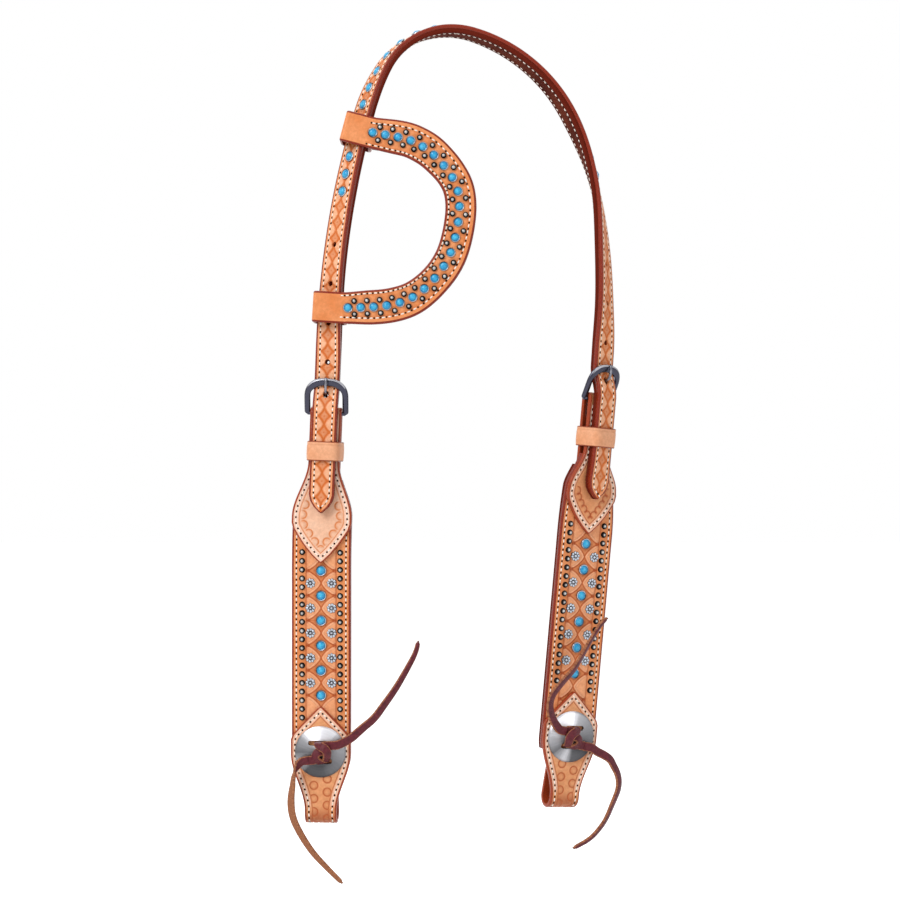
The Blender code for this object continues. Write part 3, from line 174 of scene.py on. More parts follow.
EAR_SPOT_OFFSET = 0.0042
EAR_SPOT_DIAMETER = 0.0037
EAR_LINE_SHARES = (
    (0.408, 0.01), (0.525, 0.025), (0.641, 0.054), (0.751, 0.101), (0.85, 0.155),
    (0.94, 0.229), (0.99, 0.335), (1.000, 0.465), (0.98, 0.59), (0.934, 0.68),
    (0.872, 0.753), (0.796, 0.819), (0.697, 0.88), (0.578, 0.922), (0.422, 0.955),
)
CONCHO_DIAMETER = 0.0326
CONCHO_METAL = 0.0011
CONCHO_RISE = 0.0016
CONCHO_PLACE = 0.2155
CONCHO_SLOT_SPACING = 0.0114
CONCHO_SLOT_LENGTH = 0.0125
CONCHO_SLOT_WIDTH = 0.0032
THONG_WIDTH = 0.0057
THONG_THICKNESS = 0.0021
KNOT_RISE = 0.0046
KNOT_WIDTH = 0.0125
THONG_LENGTH = 0.09
THONG_TIP_SHARE = 0.5
THONG_POINTS = 18
KNOT_EXIT_RUN = 0.004
TAIL_SHARES = {
    "left_thong_tail_upper": (
        (1.000, -0.055, 0.000), (0.218, -0.104, 0.000), (0.303, -0.178, 0.01),
        (0.389, -0.252, 0.02), (0.462, -0.349, 0.03), (0.548, -0.472, 0.03),
        (0.633, -0.619, 0.02), (0.682, -0.717, 0.01), (0.701, -0.797, 0.000),
    ),
    "left_thong_tail_lower": (
        (-1.000, 0.05, 0.000), (-0.172, 0.13, 0.000), (-0.187, 0.226, 0.000),
        (-0.199, 0.336, 0.000), (-0.186, 0.447, 0.000), (-0.137, 0.557, 0.000),
        (-0.052, 0.691, -0.01), (0.046, 0.801, -0.02), (0.162, 0.918, -0.03),
    ),
    "right_thong_tail_upper": (
        (1.000, -0.05, 0.000), (0.195, -0.12, 0.02), (0.242, -0.215, 0.035),
        (0.238, -0.305, 0.05), (0.18, -0.395, 0.06), (0.102, -0.485, 0.06),
        (0.042, -0.58, 0.055), (-0.02, -0.69, 0.045), (-0.098, -0.805, 0.03),
        (-0.155, -0.862, 0.02),
    ),
    "right_thong_tail_lower": (
        (-1.000, 0.055, 0.000), (-0.17, 0.085, 0.000), (-0.278, 0.133, 0.000),
        (-0.327, 0.191, 0.000), (-0.369, 0.26, 0.000), (-0.382, 0.337, 0.000),
        (-0.362, 0.412, 0.000), (-0.333, 0.489, 0.000), (-0.3, 0.572, 0.000),
        (-0.242, 0.654, 0.000), (-0.181, 0.718, -0.01), (-0.07, 0.781, -0.02),
    ),
}

SIDES = ("left", "right")
MIRROR = {"left": 1, "right": -1}

# Looks
STITCH_PITCH = 0.00365
STITCH_LENGTH = 0.0025
STITCH_WIDTH = 0.00095
STITCH_RISE = 0.00042
NEEDLE_HOLE = 0.0013
STITCH_INSET = 0.003
EDGE_SHOWS = 0.0017
EDGE_ROUND = 0.0009
FINE_STEP = 0.0004
COARSE_STEP = 3 * FINE_STEP
TIGHT = GAP * 0.9
FLAT_BACK = (EDGE_ROUND, 0.0)
EDGE_STEPS = 5
EASE_MOST = 0.45
DOME_STEPS = 7
ROSETTE_GRID = (64, 12)
ROSETTE_PETALS = 8
ROSETTE_CUP = 0.24
ROSETTE_MOAT, ROSETTE_MOAT_WIDTH = 0.36, 0.09
PETAL_VALLEY = 0.78
STITCH_GRID = (7, 8)
TONGUE_TIP = (0.97, 0.9, 0.55)
TONGUE_SIDES = 16
TONGUE_SQUARE = 0.8
EYE_SQUARE = 0.6
EYE_GRID = (12, 40)
FRAME_STEPS = 64
BAR_SIDES = 24
CONCHO_GRID = (49, 128)
CONCHO_RIM = (0.93, 1.0)
CONCHO_CUT = 4 * CONCHO_METAL
CONCHO_SLOT_STEPS = 13
NEEDLE_HOLE_ROWS = ((0.0, 0.02), (0.5, 0.06), (0.55, -0.3))
# A stone: the width of its dome and of its bezel, the bezel's wall and its notches
WIDE_STONE = (*(TURQUOISE_DIAMETER * share for share in (0.86, 0.82, 0.12)), 36)
EAR_STONE = (*(EAR_TURQUOISE_DIAMETER * share for share in (0.88, 0.86, 0.12)), 32)
# A bezel's section: across its wall, up and how dark
BEZEL_SECTION = (
    (0.0, -0.5, 1.0), (0.0, 0.55, 0.8), (0.25, 0.9, 0.0), (0.6, 1.0, 0.0), (0.9, 0.8, 0.2),
    (1.0, 0.3, 0.6), (1.0, -0.5, 1.0),
)
BEZEL_NOTCH = 0.12
GROOVE = 0.00022
CARVE_WIDTH = 0.0009
CARVE_OFF_STITCH = 0.0006
GROUND_PITCH = 0.0009
CROWN_MOTIF = 0.0103
CROWN_MOTIF_START = 0.0032
CROWN_SEED = 0.0011
CROWN_LINE = 0.0014
PETAL_CURVES = (1.35, 0.66)
PETAL_LIGHT = 0.7
LOBE_LIP = 0.0018
CHEEK_BORDER = 0.0096
RING_PLACE = 0.0086
RING_RADIUS = 0.0011
OVERLAY_STITCH = 0.0028
OVERLAY_LINE = 0.005
STAMP_INSET = 0.007
STAMP_RADIUS = 0.0026
SPADE_STAMPS, SPADE_STAMP_ROOM = 11, 0.0265
SPADE_SEAM_ROOM = 0.006
BILLET_STAMP_ROOM = 0.003
RING_LINE_SHARE = 0.32
RING_SHADE_SHARE = 0.2
BILLET_STAMPS = 0.0043
BILLET_STAMP_PITCH = 0.0084
FOLD_SHADE = 0.9
FOLD_RUN = 0.008
SHINE_ASIDE = 0.02
BEZEL_SHADE = 0.75
BEZEL_LIT = math.radians(-35)
SHINE_EDGES = (-0.4, 1.1)
EAR_STITCH = (0.004, 0.0022)
EAR_STITCH_LEAD = 0.0015
EAR_STUD_SHADE = (0.0022, 0.0042)
EAR_ROUND_SHARE = 0.65
EAR_EASE_SHARE = 0.3
ARM_SWELL = 0.0011
LOOP_WALL = 0.01
LOOP_TUCK = 0.0022
LOOP_CREASE = 0.0022
KEEPER_BELLY = 0.18
KEEPER_EASE = 23
KEEPER_ROUND = 0.3
LOOP_POINTS = 120
FRAME_BEVEL = 0.0008
CREST_WIDER = 0.55
TONGUE_HOLE_SHARE = 0.72
BAR_END_STEPS = (0.0, 0.03, 0.1, 0.22, 0.4, 0.62)
FRAME_SQUARE = 0.8
TONGUE_LEAN = 0.45
CONCHO_SLOT_ASIDE = 0.0014
# How far each concho's painted reflection fan is turned
REFLECTION_FAN_TURNS = {"left": 0.0, "right": 0.11}
# The lean of each free end's show side along its run, in degrees by share
TAIL_ROLLS = {
    "left_thong_tail_upper": ((0.0, 0.0), (0.3, 24.0), (0.7, 30.0), (1.0, 10.0)),
    "left_thong_tail_lower": (
        (0.0, 0.0), (0.06, -30.0), (0.16, -110.0),
        (0.34, -150.0), (1.0, -165.0),
    ),
    "right_thong_tail_upper": ((0.0, 0.0), (0.3, 24.0), (0.7, 36.0), (1.0, 20.0)),
    "right_thong_tail_lower": ((0.0, 0.0), (0.3, -24.0), (0.7, -34.0), (1.0, -20.0)),
}
# The laces of a knot: place in millimetres from the concho's middle, where the show side
# faces, and the width
KNOT_ROWS = {
    "bar": (
        (0.0, 5.7, -2.0, 0.0, 1.0, 0.0, 5.6), (0.0, 5.7, -8.0, 0.0, 1.0, 0.0, 5.6),
        (0.0, 5.5, -16.0, 0.0, 0.7, -0.3, 5.6), (0.0, 3.5, -18.4, 0.0, 0.2, -1.0, 5.6),
        (0.0, 0.0, -18.5, 0.0, 0.0, -1.0, 5.6), (0.0, -3.5, -18.4, 0.0, -0.2, -1.0, 5.6),
        (0.0, -5.5, -16.0, 0.0, -0.7, -0.3, 5.6), (0.0, -5.7, -8.0, 0.0, -1.0, 0.0, 5.6),
        (0.0, -5.7, -2.0, 0.0, -1.0, 0.0, 5.6),
    ),
    "right_root": (
        (0.4, 4.2, 1.6, 0.0, 0.2, 1.0, 5.2), (2.0, 4.6, 2.6, 0.0, 0.1, 1.0, 5.4),
        (4.4, 4.9, 2.6, 0.0, 0.0, 1.0, 5.6), (6.6, 4.95, 2.3, 0.0, 0.0, 1.0, 5.7),
    ),
    "left_root": (
        (-0.4, -3.4, 1.4, 0.0, -0.2, 1.0, 5.2), (-2.0, -4.0, 2.3, 0.0, -0.1, 1.0, 5.4),
        (-4.4, -4.4, 2.5, 0.0, 0.0, 1.0, 5.6), (-6.6, -4.5, 2.3, 0.0, 0.0, 1.0, 5.7),
    ),
    "under_fold": (
        (4.2, 0.6, 1.6, 0.2, 0.5, 1.0, 5.0), (1.6, 1.2, 3.4, -0.1, 0.4, 1.0, 5.4),
        (-1.0, 0.4, 4.0, -0.4, 0.2, 1.0, 5.6), (-2.2, -1.9, 3.9, -0.5, -0.1, 1.0, 5.6),
        (-1.4, -4.2, 3.2, -0.3, -0.4, 1.0, 5.4), (0.9, -5.6, 1.8, -0.1, -0.7, 0.8, 5.2),
        (2.8, -5.9, -1.2, 0.0, -1.0, 0.3, 5.0),
    ),
    "over_fold": (
        (-1.2, 5.9, -1.4, 0.0, 1.0, 0.2, 5.2), (-0.8, 5.6, 1.8, -0.1, 0.8, 0.7, 5.4),
        (1.2, 4.6, 4.6, -0.1, 0.3, 1.0, 5.6), (3.8, 3.4, 5.8, 0.2, 0.2, 1.0, 5.7),
        (5.4, 1.0, 5.4, 0.5, 0.0, 1.0, 5.7), (5.2, -1.8, 4.0, 0.6, -0.2, 1.0, 5.4),
        (4.4, -4.2, 1.6, 0.4, -0.5, 0.8, 5.0), (3.9, -5.4, -1.0, 0.2, -0.9, 0.3, 4.8),
    ),
}

# Colours
TAN_LIGHT = (0.9, 0.36, 0.15)
TAN_DEEP = (0.78, 0.24, 0.07)
TAN_RAISED = (0.98, 0.56, 0.34)
PEACH_LIGHT = (0.95, 0.61, 0.43)
PEACH_DEEP = (0.89, 0.48, 0.3)
PEACH_RAISED = (0.98, 0.66, 0.52)
BIT_LIGHT = (0.88, 0.42, 0.2)
BIT_DEEP = (0.74, 0.27, 0.1)
BIT_RAISED = (0.96, 0.64, 0.5)
BIT_CARVED = (0.46, 0.1, 0.026)
# Painted shade over the folds of the bit ends and of the right spade
BIT_FOLD_SHADE = (0.4, 0.1, 0.035)
CROWN_RAISED = (0.98, 0.62, 0.42)
CROWN_CARVED = (0.6, 0.13, 0.018)
CROWN_GROUND = (0.72, 0.36, 0.22)
KEEPER_LIGHT = (0.92, 0.48, 0.28)
KEEPER_DEEP = (0.82, 0.34, 0.16)
KEEPER_CREASE = (0.45, 0.14, 0.05)
KEEPER_EDGE = (0.3, 0.06, 0.02)
CARVED_COLOR = (0.42, 0.075, 0.013)
OVERLAY_CARVED = (0.66, 0.17, 0.025)
OVERLAY_EDGE = (0.34, 0.05, 0.014)
# Stamped ground, and painted shade round the ear's studs and over the left spade's fold
GROUND_AND_SHADE_COLOR = (0.5, 0.14, 0.045)
EDGE_COLOR = (0.24, 0.022, 0.006)
LINING_LIGHT = (0.17, 0.036, 0.018)
LINING_DEEP = (0.085, 0.015, 0.009)
LINING_EDGE = (0.13, 0.016, 0.008)
LACE_LIGHT = (0.17, 0.022, 0.034)
LACE_DARK = (0.075, 0.008, 0.014)
FLESH_LIGHT = (0.5, 0.21, 0.1)
FLESH_DARK = (0.19, 0.06, 0.03)
STONE_LIGHT = (0.06, 0.62, 0.92)
STONE_DEEP = (0.01, 0.36, 0.72)
STONE_VEIN = (0.3, 0.72, 0.85)
# Painted shade towards a stone's foot
STONE_FOOT_SHADE = (0.003, 0.12, 0.34)
THREAD_CLEAN = (0.97, 0.93, 0.86)
THREAD_GRUBBY = (0.66, 0.5, 0.36)
HOLE_DARK = (0.012, 0.006, 0.004)
HOLE_LIGHT = (0.05, 0.015, 0.008)
WHITE = (1.0, 1.0, 1.0)
# The silver spots' bright tone is their painted highlight; the dark tone is patina and painted
# shade at their foot
SILVER_PAINTED_HIGHLIGHT = (0.46, 0.45, 0.44)
SILVER_BRIGHT = (0.38, 0.41, 0.46)
SILVER_TARNISH_AND_SHADE = (0.01, 0.008, 0.008)
GUNMETAL = (0.05, 0.05, 0.07)
# Lighter gunmetal: random patches on the tongue, and a painted highlight on the buckle arch's lip
GUNMETAL_WEAR_AND_HIGHLIGHT = (0.44, 0.44, 0.48)
STEEL_DARK = (0.15, 0.15, 0.17)
# A fan of tones by turn round each concho's middle, a painted reflection
STEEL_REFLECTION_FAN = (
    (0.0, 0.13), (0.05, 0.34), (0.09, 0.5), (0.15, 0.08), (0.28, 0.06), (0.4, 0.15), (0.5, 0.27),
    (0.59, 0.36), (0.65, 0.88), (0.82, 0.92), (0.91, 0.36), (1.0, 0.13),
)
STEEL_RIM = (0.06, 0.06, 0.07)

# Each leather: its key, its name, its tones (raised partly a painted highlight, ground also
# painted shade), gloss, relief and where needed its shine
LEATHERS = (
    (
        "tooled", "tooled_leather_look",
        (TAN_LIGHT, TAN_DEEP, TAN_RAISED, CARVED_COLOR, GROUND_AND_SHADE_COLOR, EDGE_COLOR), 0.4, 0.35,
    ),
    (
        "overlay", "overlay_leather_look",
        (PEACH_LIGHT, PEACH_DEEP, PEACH_RAISED, OVERLAY_CARVED, GROUND_AND_SHADE_COLOR, OVERLAY_EDGE),
        0.38, 0.3,
    ),
    (
        "bit_end", "bit_end_look",
        (BIT_LIGHT, BIT_DEEP, BIT_RAISED, BIT_CARVED, BIT_FOLD_SHADE, OVERLAY_EDGE), 0.38, 0.3,
    ),
    (
        "crown", "crown_leather_look",
        (TAN_LIGHT, TAN_DEEP, CROWN_RAISED, CROWN_CARVED, CROWN_GROUND, EDGE_COLOR), 0.4, 0.35,
    ),
    (
        "plain", "plain_leather_look",
        (KEEPER_LIGHT, KEEPER_DEEP, PEACH_RAISED, KEEPER_CREASE, GROUND_AND_SHADE_COLOR, KEEPER_EDGE),
        0.42, 0.35,
    ),
    (
        "lining", "lining_leather_look",
        (LINING_LIGHT, LINING_DEEP, LINING_LIGHT, CARVED_COLOR, GROUND_AND_SHADE_COLOR, LINING_EDGE),
        0.52, 0.5, 0.01,
    ),
)
# Each metal: its key, its name, bright and dark tones, roughness and how much the mask counts
METALS = (
    ("silver", "antique_silver_look", SILVER_PAINTED_HIGHLIGHT, SILVER_TARNISH_AND_SHADE, 0.38, 1.0),
    ("pressed_silver", "pressed_silver_look", SILVER_BRIGHT, SILVER_TARNISH_AND_SHADE, 0.3, 0.9),
    ("gunmetal", "gunmetal_look", GUNMETAL, GUNMETAL_WEAR_AND_HIGHLIGHT, 0.26, 0.8),
)

# Stage
CAMERA_PLACE = (0.0006, -1.2, -0.2644)
CAMERA_LENS = 75.3
FLOOR_LEVEL = -0.62
WORLD_LIGHT = 0.3
FLOOR_GLOW = 0.75
# Each lamp: name, place, size, power and what it points at
LAMPS = (
    ("window", (-1.1, -1.3, 0.9), (1.0, 1.2), 30.0, (0.0, 0.0, -0.25)),
    ("fill", (1.4, -1.0, 0.1), (1.2, 1.6), 7.0, (0.0, 0.0, -0.3)),
    ("overhead", (0.1, 0.3, 1.3), (1.6, 1.0), 10.0, (0.0, 0.0, -0.2)),
)


def hermite(table, at):
    """A smooth value from rising (place, value) pairs that never overshoots them."""
    places, values = zip(*table)
    if at <= places[0]:
        return values[0]
    if at >= places[-1]:
        return values[-1]
    steps = [(w - v) / (q - p) for (p, v), (q, w) in zip(table, table[1:])]
    slopes = [0.0]
    for before, after in zip(steps, steps[1:]):
        slopes.append(2 * before * after / (before + after) if before * after > 0 else 0.0)
    slopes.append(0.0)
    i = max(k for k in range(len(places) - 1) if places[k] <= at)
    width = places[i + 1] - places[i]
    t = (at - places[i]) / width
    return (
        values[i] * (1 + 2 * t) * (1 - t) ** 2
        + values[i + 1] * t * t * (3 - 2 * t)
        + slopes[i] * width * t * (1 - t) ** 2
        - slopes[i + 1] * width * t * t * (1 - t)
    )


def smoothstep(t):
    t = min(1.0, max(0.0, t))
    return t * t * (3 - 2 * t)


def soft(x, low, high):
    """The same smooth step for arrays, from 0 at low to 1 at high."""
    t = np.clip((x - low) / (high - low), 0.0, 1.0)
    return t * t * (3 - 2 * t)


def follow(runs, start, heading, at):
    """The place and heading at a distance along a chain of arcs, its first axis across."""
    across, up, left = 0.0, 0.0, at - start
    for length, turn in runs:
        part = min(max(left, 0.0), length)
        bend = math.radians(turn * part / length)
        first = math.radians(heading)
        if abs(bend) < TINY:
            across += part * math.sin(first)
            up += part * math.cos(first)
        else:
            radius = part / bend
            across += radius * (math.cos(first) - math.cos(first + bend))
            up += radius * (math.sin(first + bend) - math.sin(first))
        heading += turn * part / length
        left -= length
        if left <= 0:
            break
    return across, up, heading


def spine_point(s):
    return follow(RUNS, SPINE_START, 0.0, s)


def roll_at(s):
    """The turn of the show face, in degrees from the front towards the outside of the bow."""
    first, last = ROLL_SHARES[0][1], ROLL_SHARES[-1][1]
    table = [(-SPADE_REACH["left"], CHEEK_TURN["left"]), (-NECK_LENGTH, first), (LIFT_RUN, first)]
    table += [(share * CROWN_SPAN, turn) for share, turn in ROLL_SHARES]
    table += [(CROWN_SPAN - LIFT_RUN, last), (CROWN_SPAN + NECK_LENGTH, last)]
    return hermite(table + [(CROWN_SPAN + SPADE_REACH["right"], CHEEK_TURN["right"])], s)


def apex():
    """The distance along the spine at which the strap runs level over the poll."""
    low, high = 0.0, CROWN_SPAN
    while high - low > MM / 2000:
        middle = (low + high) / 2
        low, high = (middle, high) if spine_point(middle)[2] < 90 else (low, middle)
    return low


def axes_at(s):
    """Along, out and across unit vectors of the spine."""
    heading, roll = math.radians(spine_point(s)[2]), math.radians(roll_at(s))
    along = Vector((math.sin(heading), 0.0, math.cos(heading)))
    outward = Vector((-math.cos(heading), 0.0, math.sin(heading)))
    out = FRONT * math.cos(roll) + outward * math.sin(roll)
    return along, out, along.cross(out)


APEX_ACROSS, APEX_UP = spine_point(apex())[:2]


def spine_origin(s):
    across, up = spine_point(s)[:2]
    return Vector((across - APEX_ACROSS, 0.0, up - APEX_UP + STRAP_THICKNESS / 2))


def place(s, u, n):
    out, across = axes_at(s)[1:]
    return spine_origin(s) + across * u + out * n


def lift_at(s):
    """How far the strap stands off the spine: nothing over the crown, all of it on each chape."""
    nearest = min(s, CROWN_SPAN - s)
    return STRAP_LIFT * (1 - smoothstep((nearest + LIFT_START) / LIFT_RUN))


def strap_axes(s):
    """The strap's own frame: origin, across, out and along."""
    step = MM / 2
    ahead = place(s + step, 0.0, lift_at(s + step)) - place(s - step, 0.0, lift_at(s - step))
    along = ahead.normalized()
    out = axes_at(s)[1]
    out = (out - along * out.dot(along)).normalized()
    return place(s, 0.0, lift_at(s)), along.cross(out), out, along


def side_distance(side, v):
    return -v if side == "left" else CROWN_SPAN + v


def side_place(side, u, v, n):
    """A place on a cheek: u across, v down from the heel bar, n out from the lining's back."""
    return place(side_distance(side, v), u, n - SIDE_LEVEL)


def side_axes(side, v):
    """A cheek's own frame: origin at the back of the lining, across, out and down the cheek."""
    along, out, across = axes_at(side_distance(side, v))
    return side_place(side, 0.0, v, 0.0), across, out, along * -MIRROR[side]


def side_matrix(side, v, n):
    """A frame on a cheek: x across, y up the strap, z out, with its origin at v and n."""
    along, out = axes_at(side_distance(side, v))[:2]
    up = along * MIRROR[side]
    turned = Matrix((up.cross(out), up, out)).transposed().to_4x4()
    return Matrix.Translation(side_place(side, 0.0, v, n)) @ turned


def frame_tilt():
    """The lean of the buckle frame, which carries its arch over the face of the strap."""
    inner = FRAME_REACH - FRAME_BAR / 2
    strap_front = SIDE_LEVEL + lift_at(inner) + STRAP_THICKNESS / 2
    rise = strap_front + RUNNING_GAP + FRAME_THICKNESS / 2 - BAR_LEVEL
    return math.asin(rise / inner) + math.asin(GAP / inner)


def smooth_line(points, steps):
    """More points on a smooth curve through the given ones."""
    line = np.array(points, float)
    line = np.concatenate([[2 * line[0] - line[1]], line, [2 * line[-1] - line[-2]]])
    found = []
    for a, b, c, d in zip(line, line[1:], line[2:], line[3:]):
        for t in np.arange(steps) / steps:
            bend = (2 * a - 5 * b + 4 * c - d) * t * t + (3 * b - a - 3 * c + d) * t**3
            found.append(tuple((2 * b + (c - a) * t + bend) / 2))
    return found + [tuple(line[-2])]


def run_length(points):
    """The distances from the start of a line to each of its points."""
    return np.concatenate(([0.0], np.cumsum(np.linalg.norm(np.diff(points, axis=0), axis=1))))


def unit_rows(rows):
    return rows / np.linalg.norm(rows, axis=1)[:, None]


def spread(line, count):
    """Equal places along a line, each with its direction."""
    points = np.array(line, float)
    done = run_length(points)
    places = np.linspace(0.0, done[-1], count)
    spots = np.stack([np.interp(places, done, column) for column in points.T], 1)
    index = np.clip(np.searchsorted(done, places, side="right") - 1, 0, len(points) - 2)
    return spots, unit_rows(np.diff(points, axis=0)[index])


def placed(points, matrix):
    """Points carried into a frame."""
    m = np.array(matrix)
    return np.array(points) @ m[:3, :3].T + m[:3, 3]


def quarter(steps, first=0):
    """The sines and cosines of even steps through a quarter turn."""
    angles = [math.pi / 2 * k / steps for k in range(first, steps + 1)]
    return [(math.sin(a), math.cos(a)) for a in angles]


# Sheets: a flat piece of leather is known by its frames along y


def sheet_of(places, frames):
    """The frames of a bent sheet at its stations, as arrays."""
    names = ("origin", "across", "out", "along")
    sheet = {name: np.array([tuple(v) for v in rows]) for name, rows in zip(names, zip(*frames))}
    return {**sheet, "y": np.array(places, float)}


def laid(places, axes, over=1):
    """A sheet along a line of frames, turned over where asked."""
    sheet = sheet_of(places, [axes(at) for at in places])
    return {**sheet, "out": sheet["out"] * over}


def sheet_spot(sheet, u, y, n, angle=0.0):
    """A frame on a sheet, with x turned from across the sheet by an angle and z out."""
    origin, across, out, along = (
        np.array([np.interp(y, sheet["y"], column) for column in sheet[name].T])
        for name in ("origin", "across", "out", "along")
    )
    out /= np.linalg.norm(out)
    across -= out * across.dot(out)
    across /= np.linalg.norm(across)
    along = np.cross(out, across) * np.sign(np.cross(out, across).dot(along))
    x = across * math.cos(angle) + along * math.sin(angle)
    matrix = np.eye(4)
    matrix[:3] = np.stack([x, np.cross(out, x), out, origin + across * u + out * n], 1)
    return matrix


def make_mesh(name, verts, faces, masks, flat, materials, face_slots=None):
    """A mesh object with its masks as attributes and its flat layout as UVs in millimetres."""
    mesh = bpy.data.meshes.new(name)
    mesh.from_pydata([tuple(v) for v in verts], [], faces)
    for key, values in masks.items():
        layer = mesh.attributes.new(key, "FLOAT", "POINT")
        layer.data.foreach_set("value", np.asarray(values, np.float32))
    if flat is not None:
        uv = mesh.uv_layers.new(name="flat")
        loops = loop_points(mesh)
        uv.data.foreach_set("uv", (np.asarray(flat)[loops] / MM).astype(np.float32).ravel())
    for material in materials:
        mesh.materials.append(material)
    if face_slots is not None:
        mesh.polygons.foreach_set("material_index", np.asarray(face_slots, np.int32))
    mesh.shade_smooth()
    item = bpy.data.objects.new(name, mesh)
    PIECES.objects.link(item)
    bm = bmesh.new()
    bm.from_mesh(mesh)
    if bm.calc_volume(signed=True) < 0:
        bmesh.ops.reverse_faces(bm, faces=bm.faces)
        bm.to_mesh(mesh)
    bm.free()
    return item


def loop_points(mesh):
    loops = np.zeros(len(mesh.loops), np.int32)
    mesh.loops.foreach_get("vertex_index", loops)
    return loops


def ring_faces(rings, count, start=0, closed=False):
    """The quads between rings of points, from the last ring to the first where closed."""
    faces = []
    for ring in range(rings if closed else rings - 1):
        a, b = start + ring * count, start + (ring + 1) % rings * count
        for k in range(count):
            after = (k + 1) % count
            faces.append((a + k, b + k, b + after, a + after))
    return faces


def tube_faces(rings, count):
    """The faces of a tube of rings with a flat end on both sides."""
    last = (rings - 1) * count
    ends = [tuple(range(count)), tuple(last + k for k in reversed(range(count)))]
    return ring_faces(rings, count) + ends


def disc_faces(rings, count):
    """The faces of rings of points round a first point, closed flat below the last ring."""
    fan = [(0, 1 + k, 1 + (k + 1) % count) for k in range(count)]
    last = 1 + (rings - 1) * count
    return fan + ring_faces(rings, count, 1) + [tuple(last + k for k in reversed(range(count)))]


def leather(name, sheet, half, levels, tooling, material, rounds, columns):
    """A bent sheet of leather: a tooled face, burnished round edges and a plain back."""
    top, back = levels
    y = sheet["y"]
    half = np.array([half(at) for at in y]) if callable(half) else half
    rows = len(y)
    ease, ease_back = (np.minimum(r, half * EASE_MOST) for r in rounds)
    inner = half - ease
    u = inner[:, None] * np.linspace(-1.0, 1.0, columns)[None, :]
    height, carved, ground = tooling(u, np.repeat(y[:, None], columns, 1), half[:, None])
    side = [(inner + ease * s, top - ease * (1 - c)) for s, c in quarter(EDGE_STEPS, 1)]
    if np.any(rounds[1]):
        side += [
            (half - ease_back * (1 - c), back + ease_back * (1 - s))
            for s, c in quarter(EDGE_STEPS)
        ]
    else:
        side.append((half, back + np.zeros(rows)))
    side_u, side_n = (np.stack(column, 1) for column in zip(*side))
    all_u = np.concatenate([u, side_u, -side_u[:, ::-1]], 1)
    all_n = np.concatenate([top + height, side_n, side_n[:, ::-1]], 1)
    count = all_u.shape[1]
    points = (
        sheet["origin"][:, None, :]
        + sheet["across"][:, None, :] * all_u[:, :, None]
        + sheet["out"][:, None, :] * all_n[:, :, None]
    )
    rim = 1 - soft(half[:, None] - np.abs(u), EDGE_SHOWS * 0.55, EDGE_SHOWS)
    ones = np.ones((rows, count - columns))
    shares = (("edge", rim, 1), ("carved", carved, 0), ("ground", ground, 0))
    masks = {key: np.concatenate([on, ones * past], 1).ravel() for key, on, past in shares}
    # round the edge the layout runs on by the depth, so that grain isn't stretched
    deep_u = side_u + (top - side_n)
    flat_u = np.concatenate([u, deep_u, -deep_u[:, ::-1]], 1)
    flat = np.stack([flat_u, np.repeat(y[:, None], count, 1)], 2).reshape(-1, 2)
    return make_mesh(name, points.reshape(-1, 3), tube_faces(rows, count), masks, flat, [material])


def plain(u, y, half):
    return u * 0, u * 0, u * 0


def half_width(side, v):
    """Half the width of a side's silhouette: neck, flare, cheek and taper to the bit end."""
    flare_end = SPADE_REACH[side] - SPADE_POINT - GAP
    flare = smoothstep((v - NECK_LENGTH) / (flare_end - NECK_LENGTH))
    wide = NECK_WIDTH + (CHEEK_WIDTH - NECK_WIDTH) * flare
    return (wide + (BIT_END_WIDTH - wide) * smoothstep((v - TAPER_START) / TAPER_RUN)) / 2


def stations(low, high, step, fine_low=0.0, fine_high=0.0):
    """Even stations, closer over a run at either end where a point tapers fast."""
    places = list(np.linspace(low, high, max(2, round((high - low) / step) + 1)))
    for start, run in ((low, fine_low), (high - fine_high, fine_high)):
        if run:
            places += list(np.linspace(start, start + run, round(run / step * 2)))
    places = np.unique(np.round(places, 6))
    keep = [places[0]]
    for at in places[1:]:
        if at - keep[-1] > step / 4:
            keep.append(at)
    return np.array(keep)


# Small things set on the leather


class Heap:
    """Copies of small shapes that become one object."""

    def __init__(self):
        self.verts, self.faces, self.masks, self.slots, self.count = [], [], [], [], 0

    def add(self, shape, matrix, slot=0):
        verts, faces, mask = shape
        self.verts.append(placed(verts, matrix))
        self.masks.append(mask)
        self.faces += [tuple(i + self.count for i in face) for face in faces]
        self.slots += [slot] * len(faces)
        self.count += len(verts)

    def build(self, name, materials):
        masks = {"edge": np.concatenate(self.masks)}
        verts = np.concatenate(self.verts)
        return make_mesh(name, verts, self.faces, masks, None, materials, self.slots)


def turns_of(count):
    return [math.tau * k / count for k in range(count)]


def lathe(profile, count):
    """A round shape from (reach, height, mask) rows, the first the top of its middle."""
    verts, mask = [(0.0, 0.0, profile[0][1])], [profile[0][2]]
    for reach, height, wear_and_shine in profile[1:]:
        verts += [(reach * math.cos(a), reach * math.sin(a), height) for a in turns_of(count)]
        mask += [wear_and_shine] * count
    return np.array(verts), disc_faces(len(profile) - 1, count), np.array(mask)


def dome_shape(diameter, height, count):
    """A dome with a sunk foot; its mask is 0 at a painted highlight a little off its middle and 1
    towards its foot, where it paints shade and, on silver, patina.
    """
    radius = diameter / 2
    rows = [(radius * s, height * c, 0.0) for s, c in quarter(DOME_STEPS)]
    verts, faces = lathe(rows + [(radius, -GAP, 0.0)], count)[:2]
    from_shine = np.hypot(*(verts[:, :2] + radius * SHINE_ASIDE).T) / radius
    return verts, faces, soft(from_shine, *SHINE_EDGES)


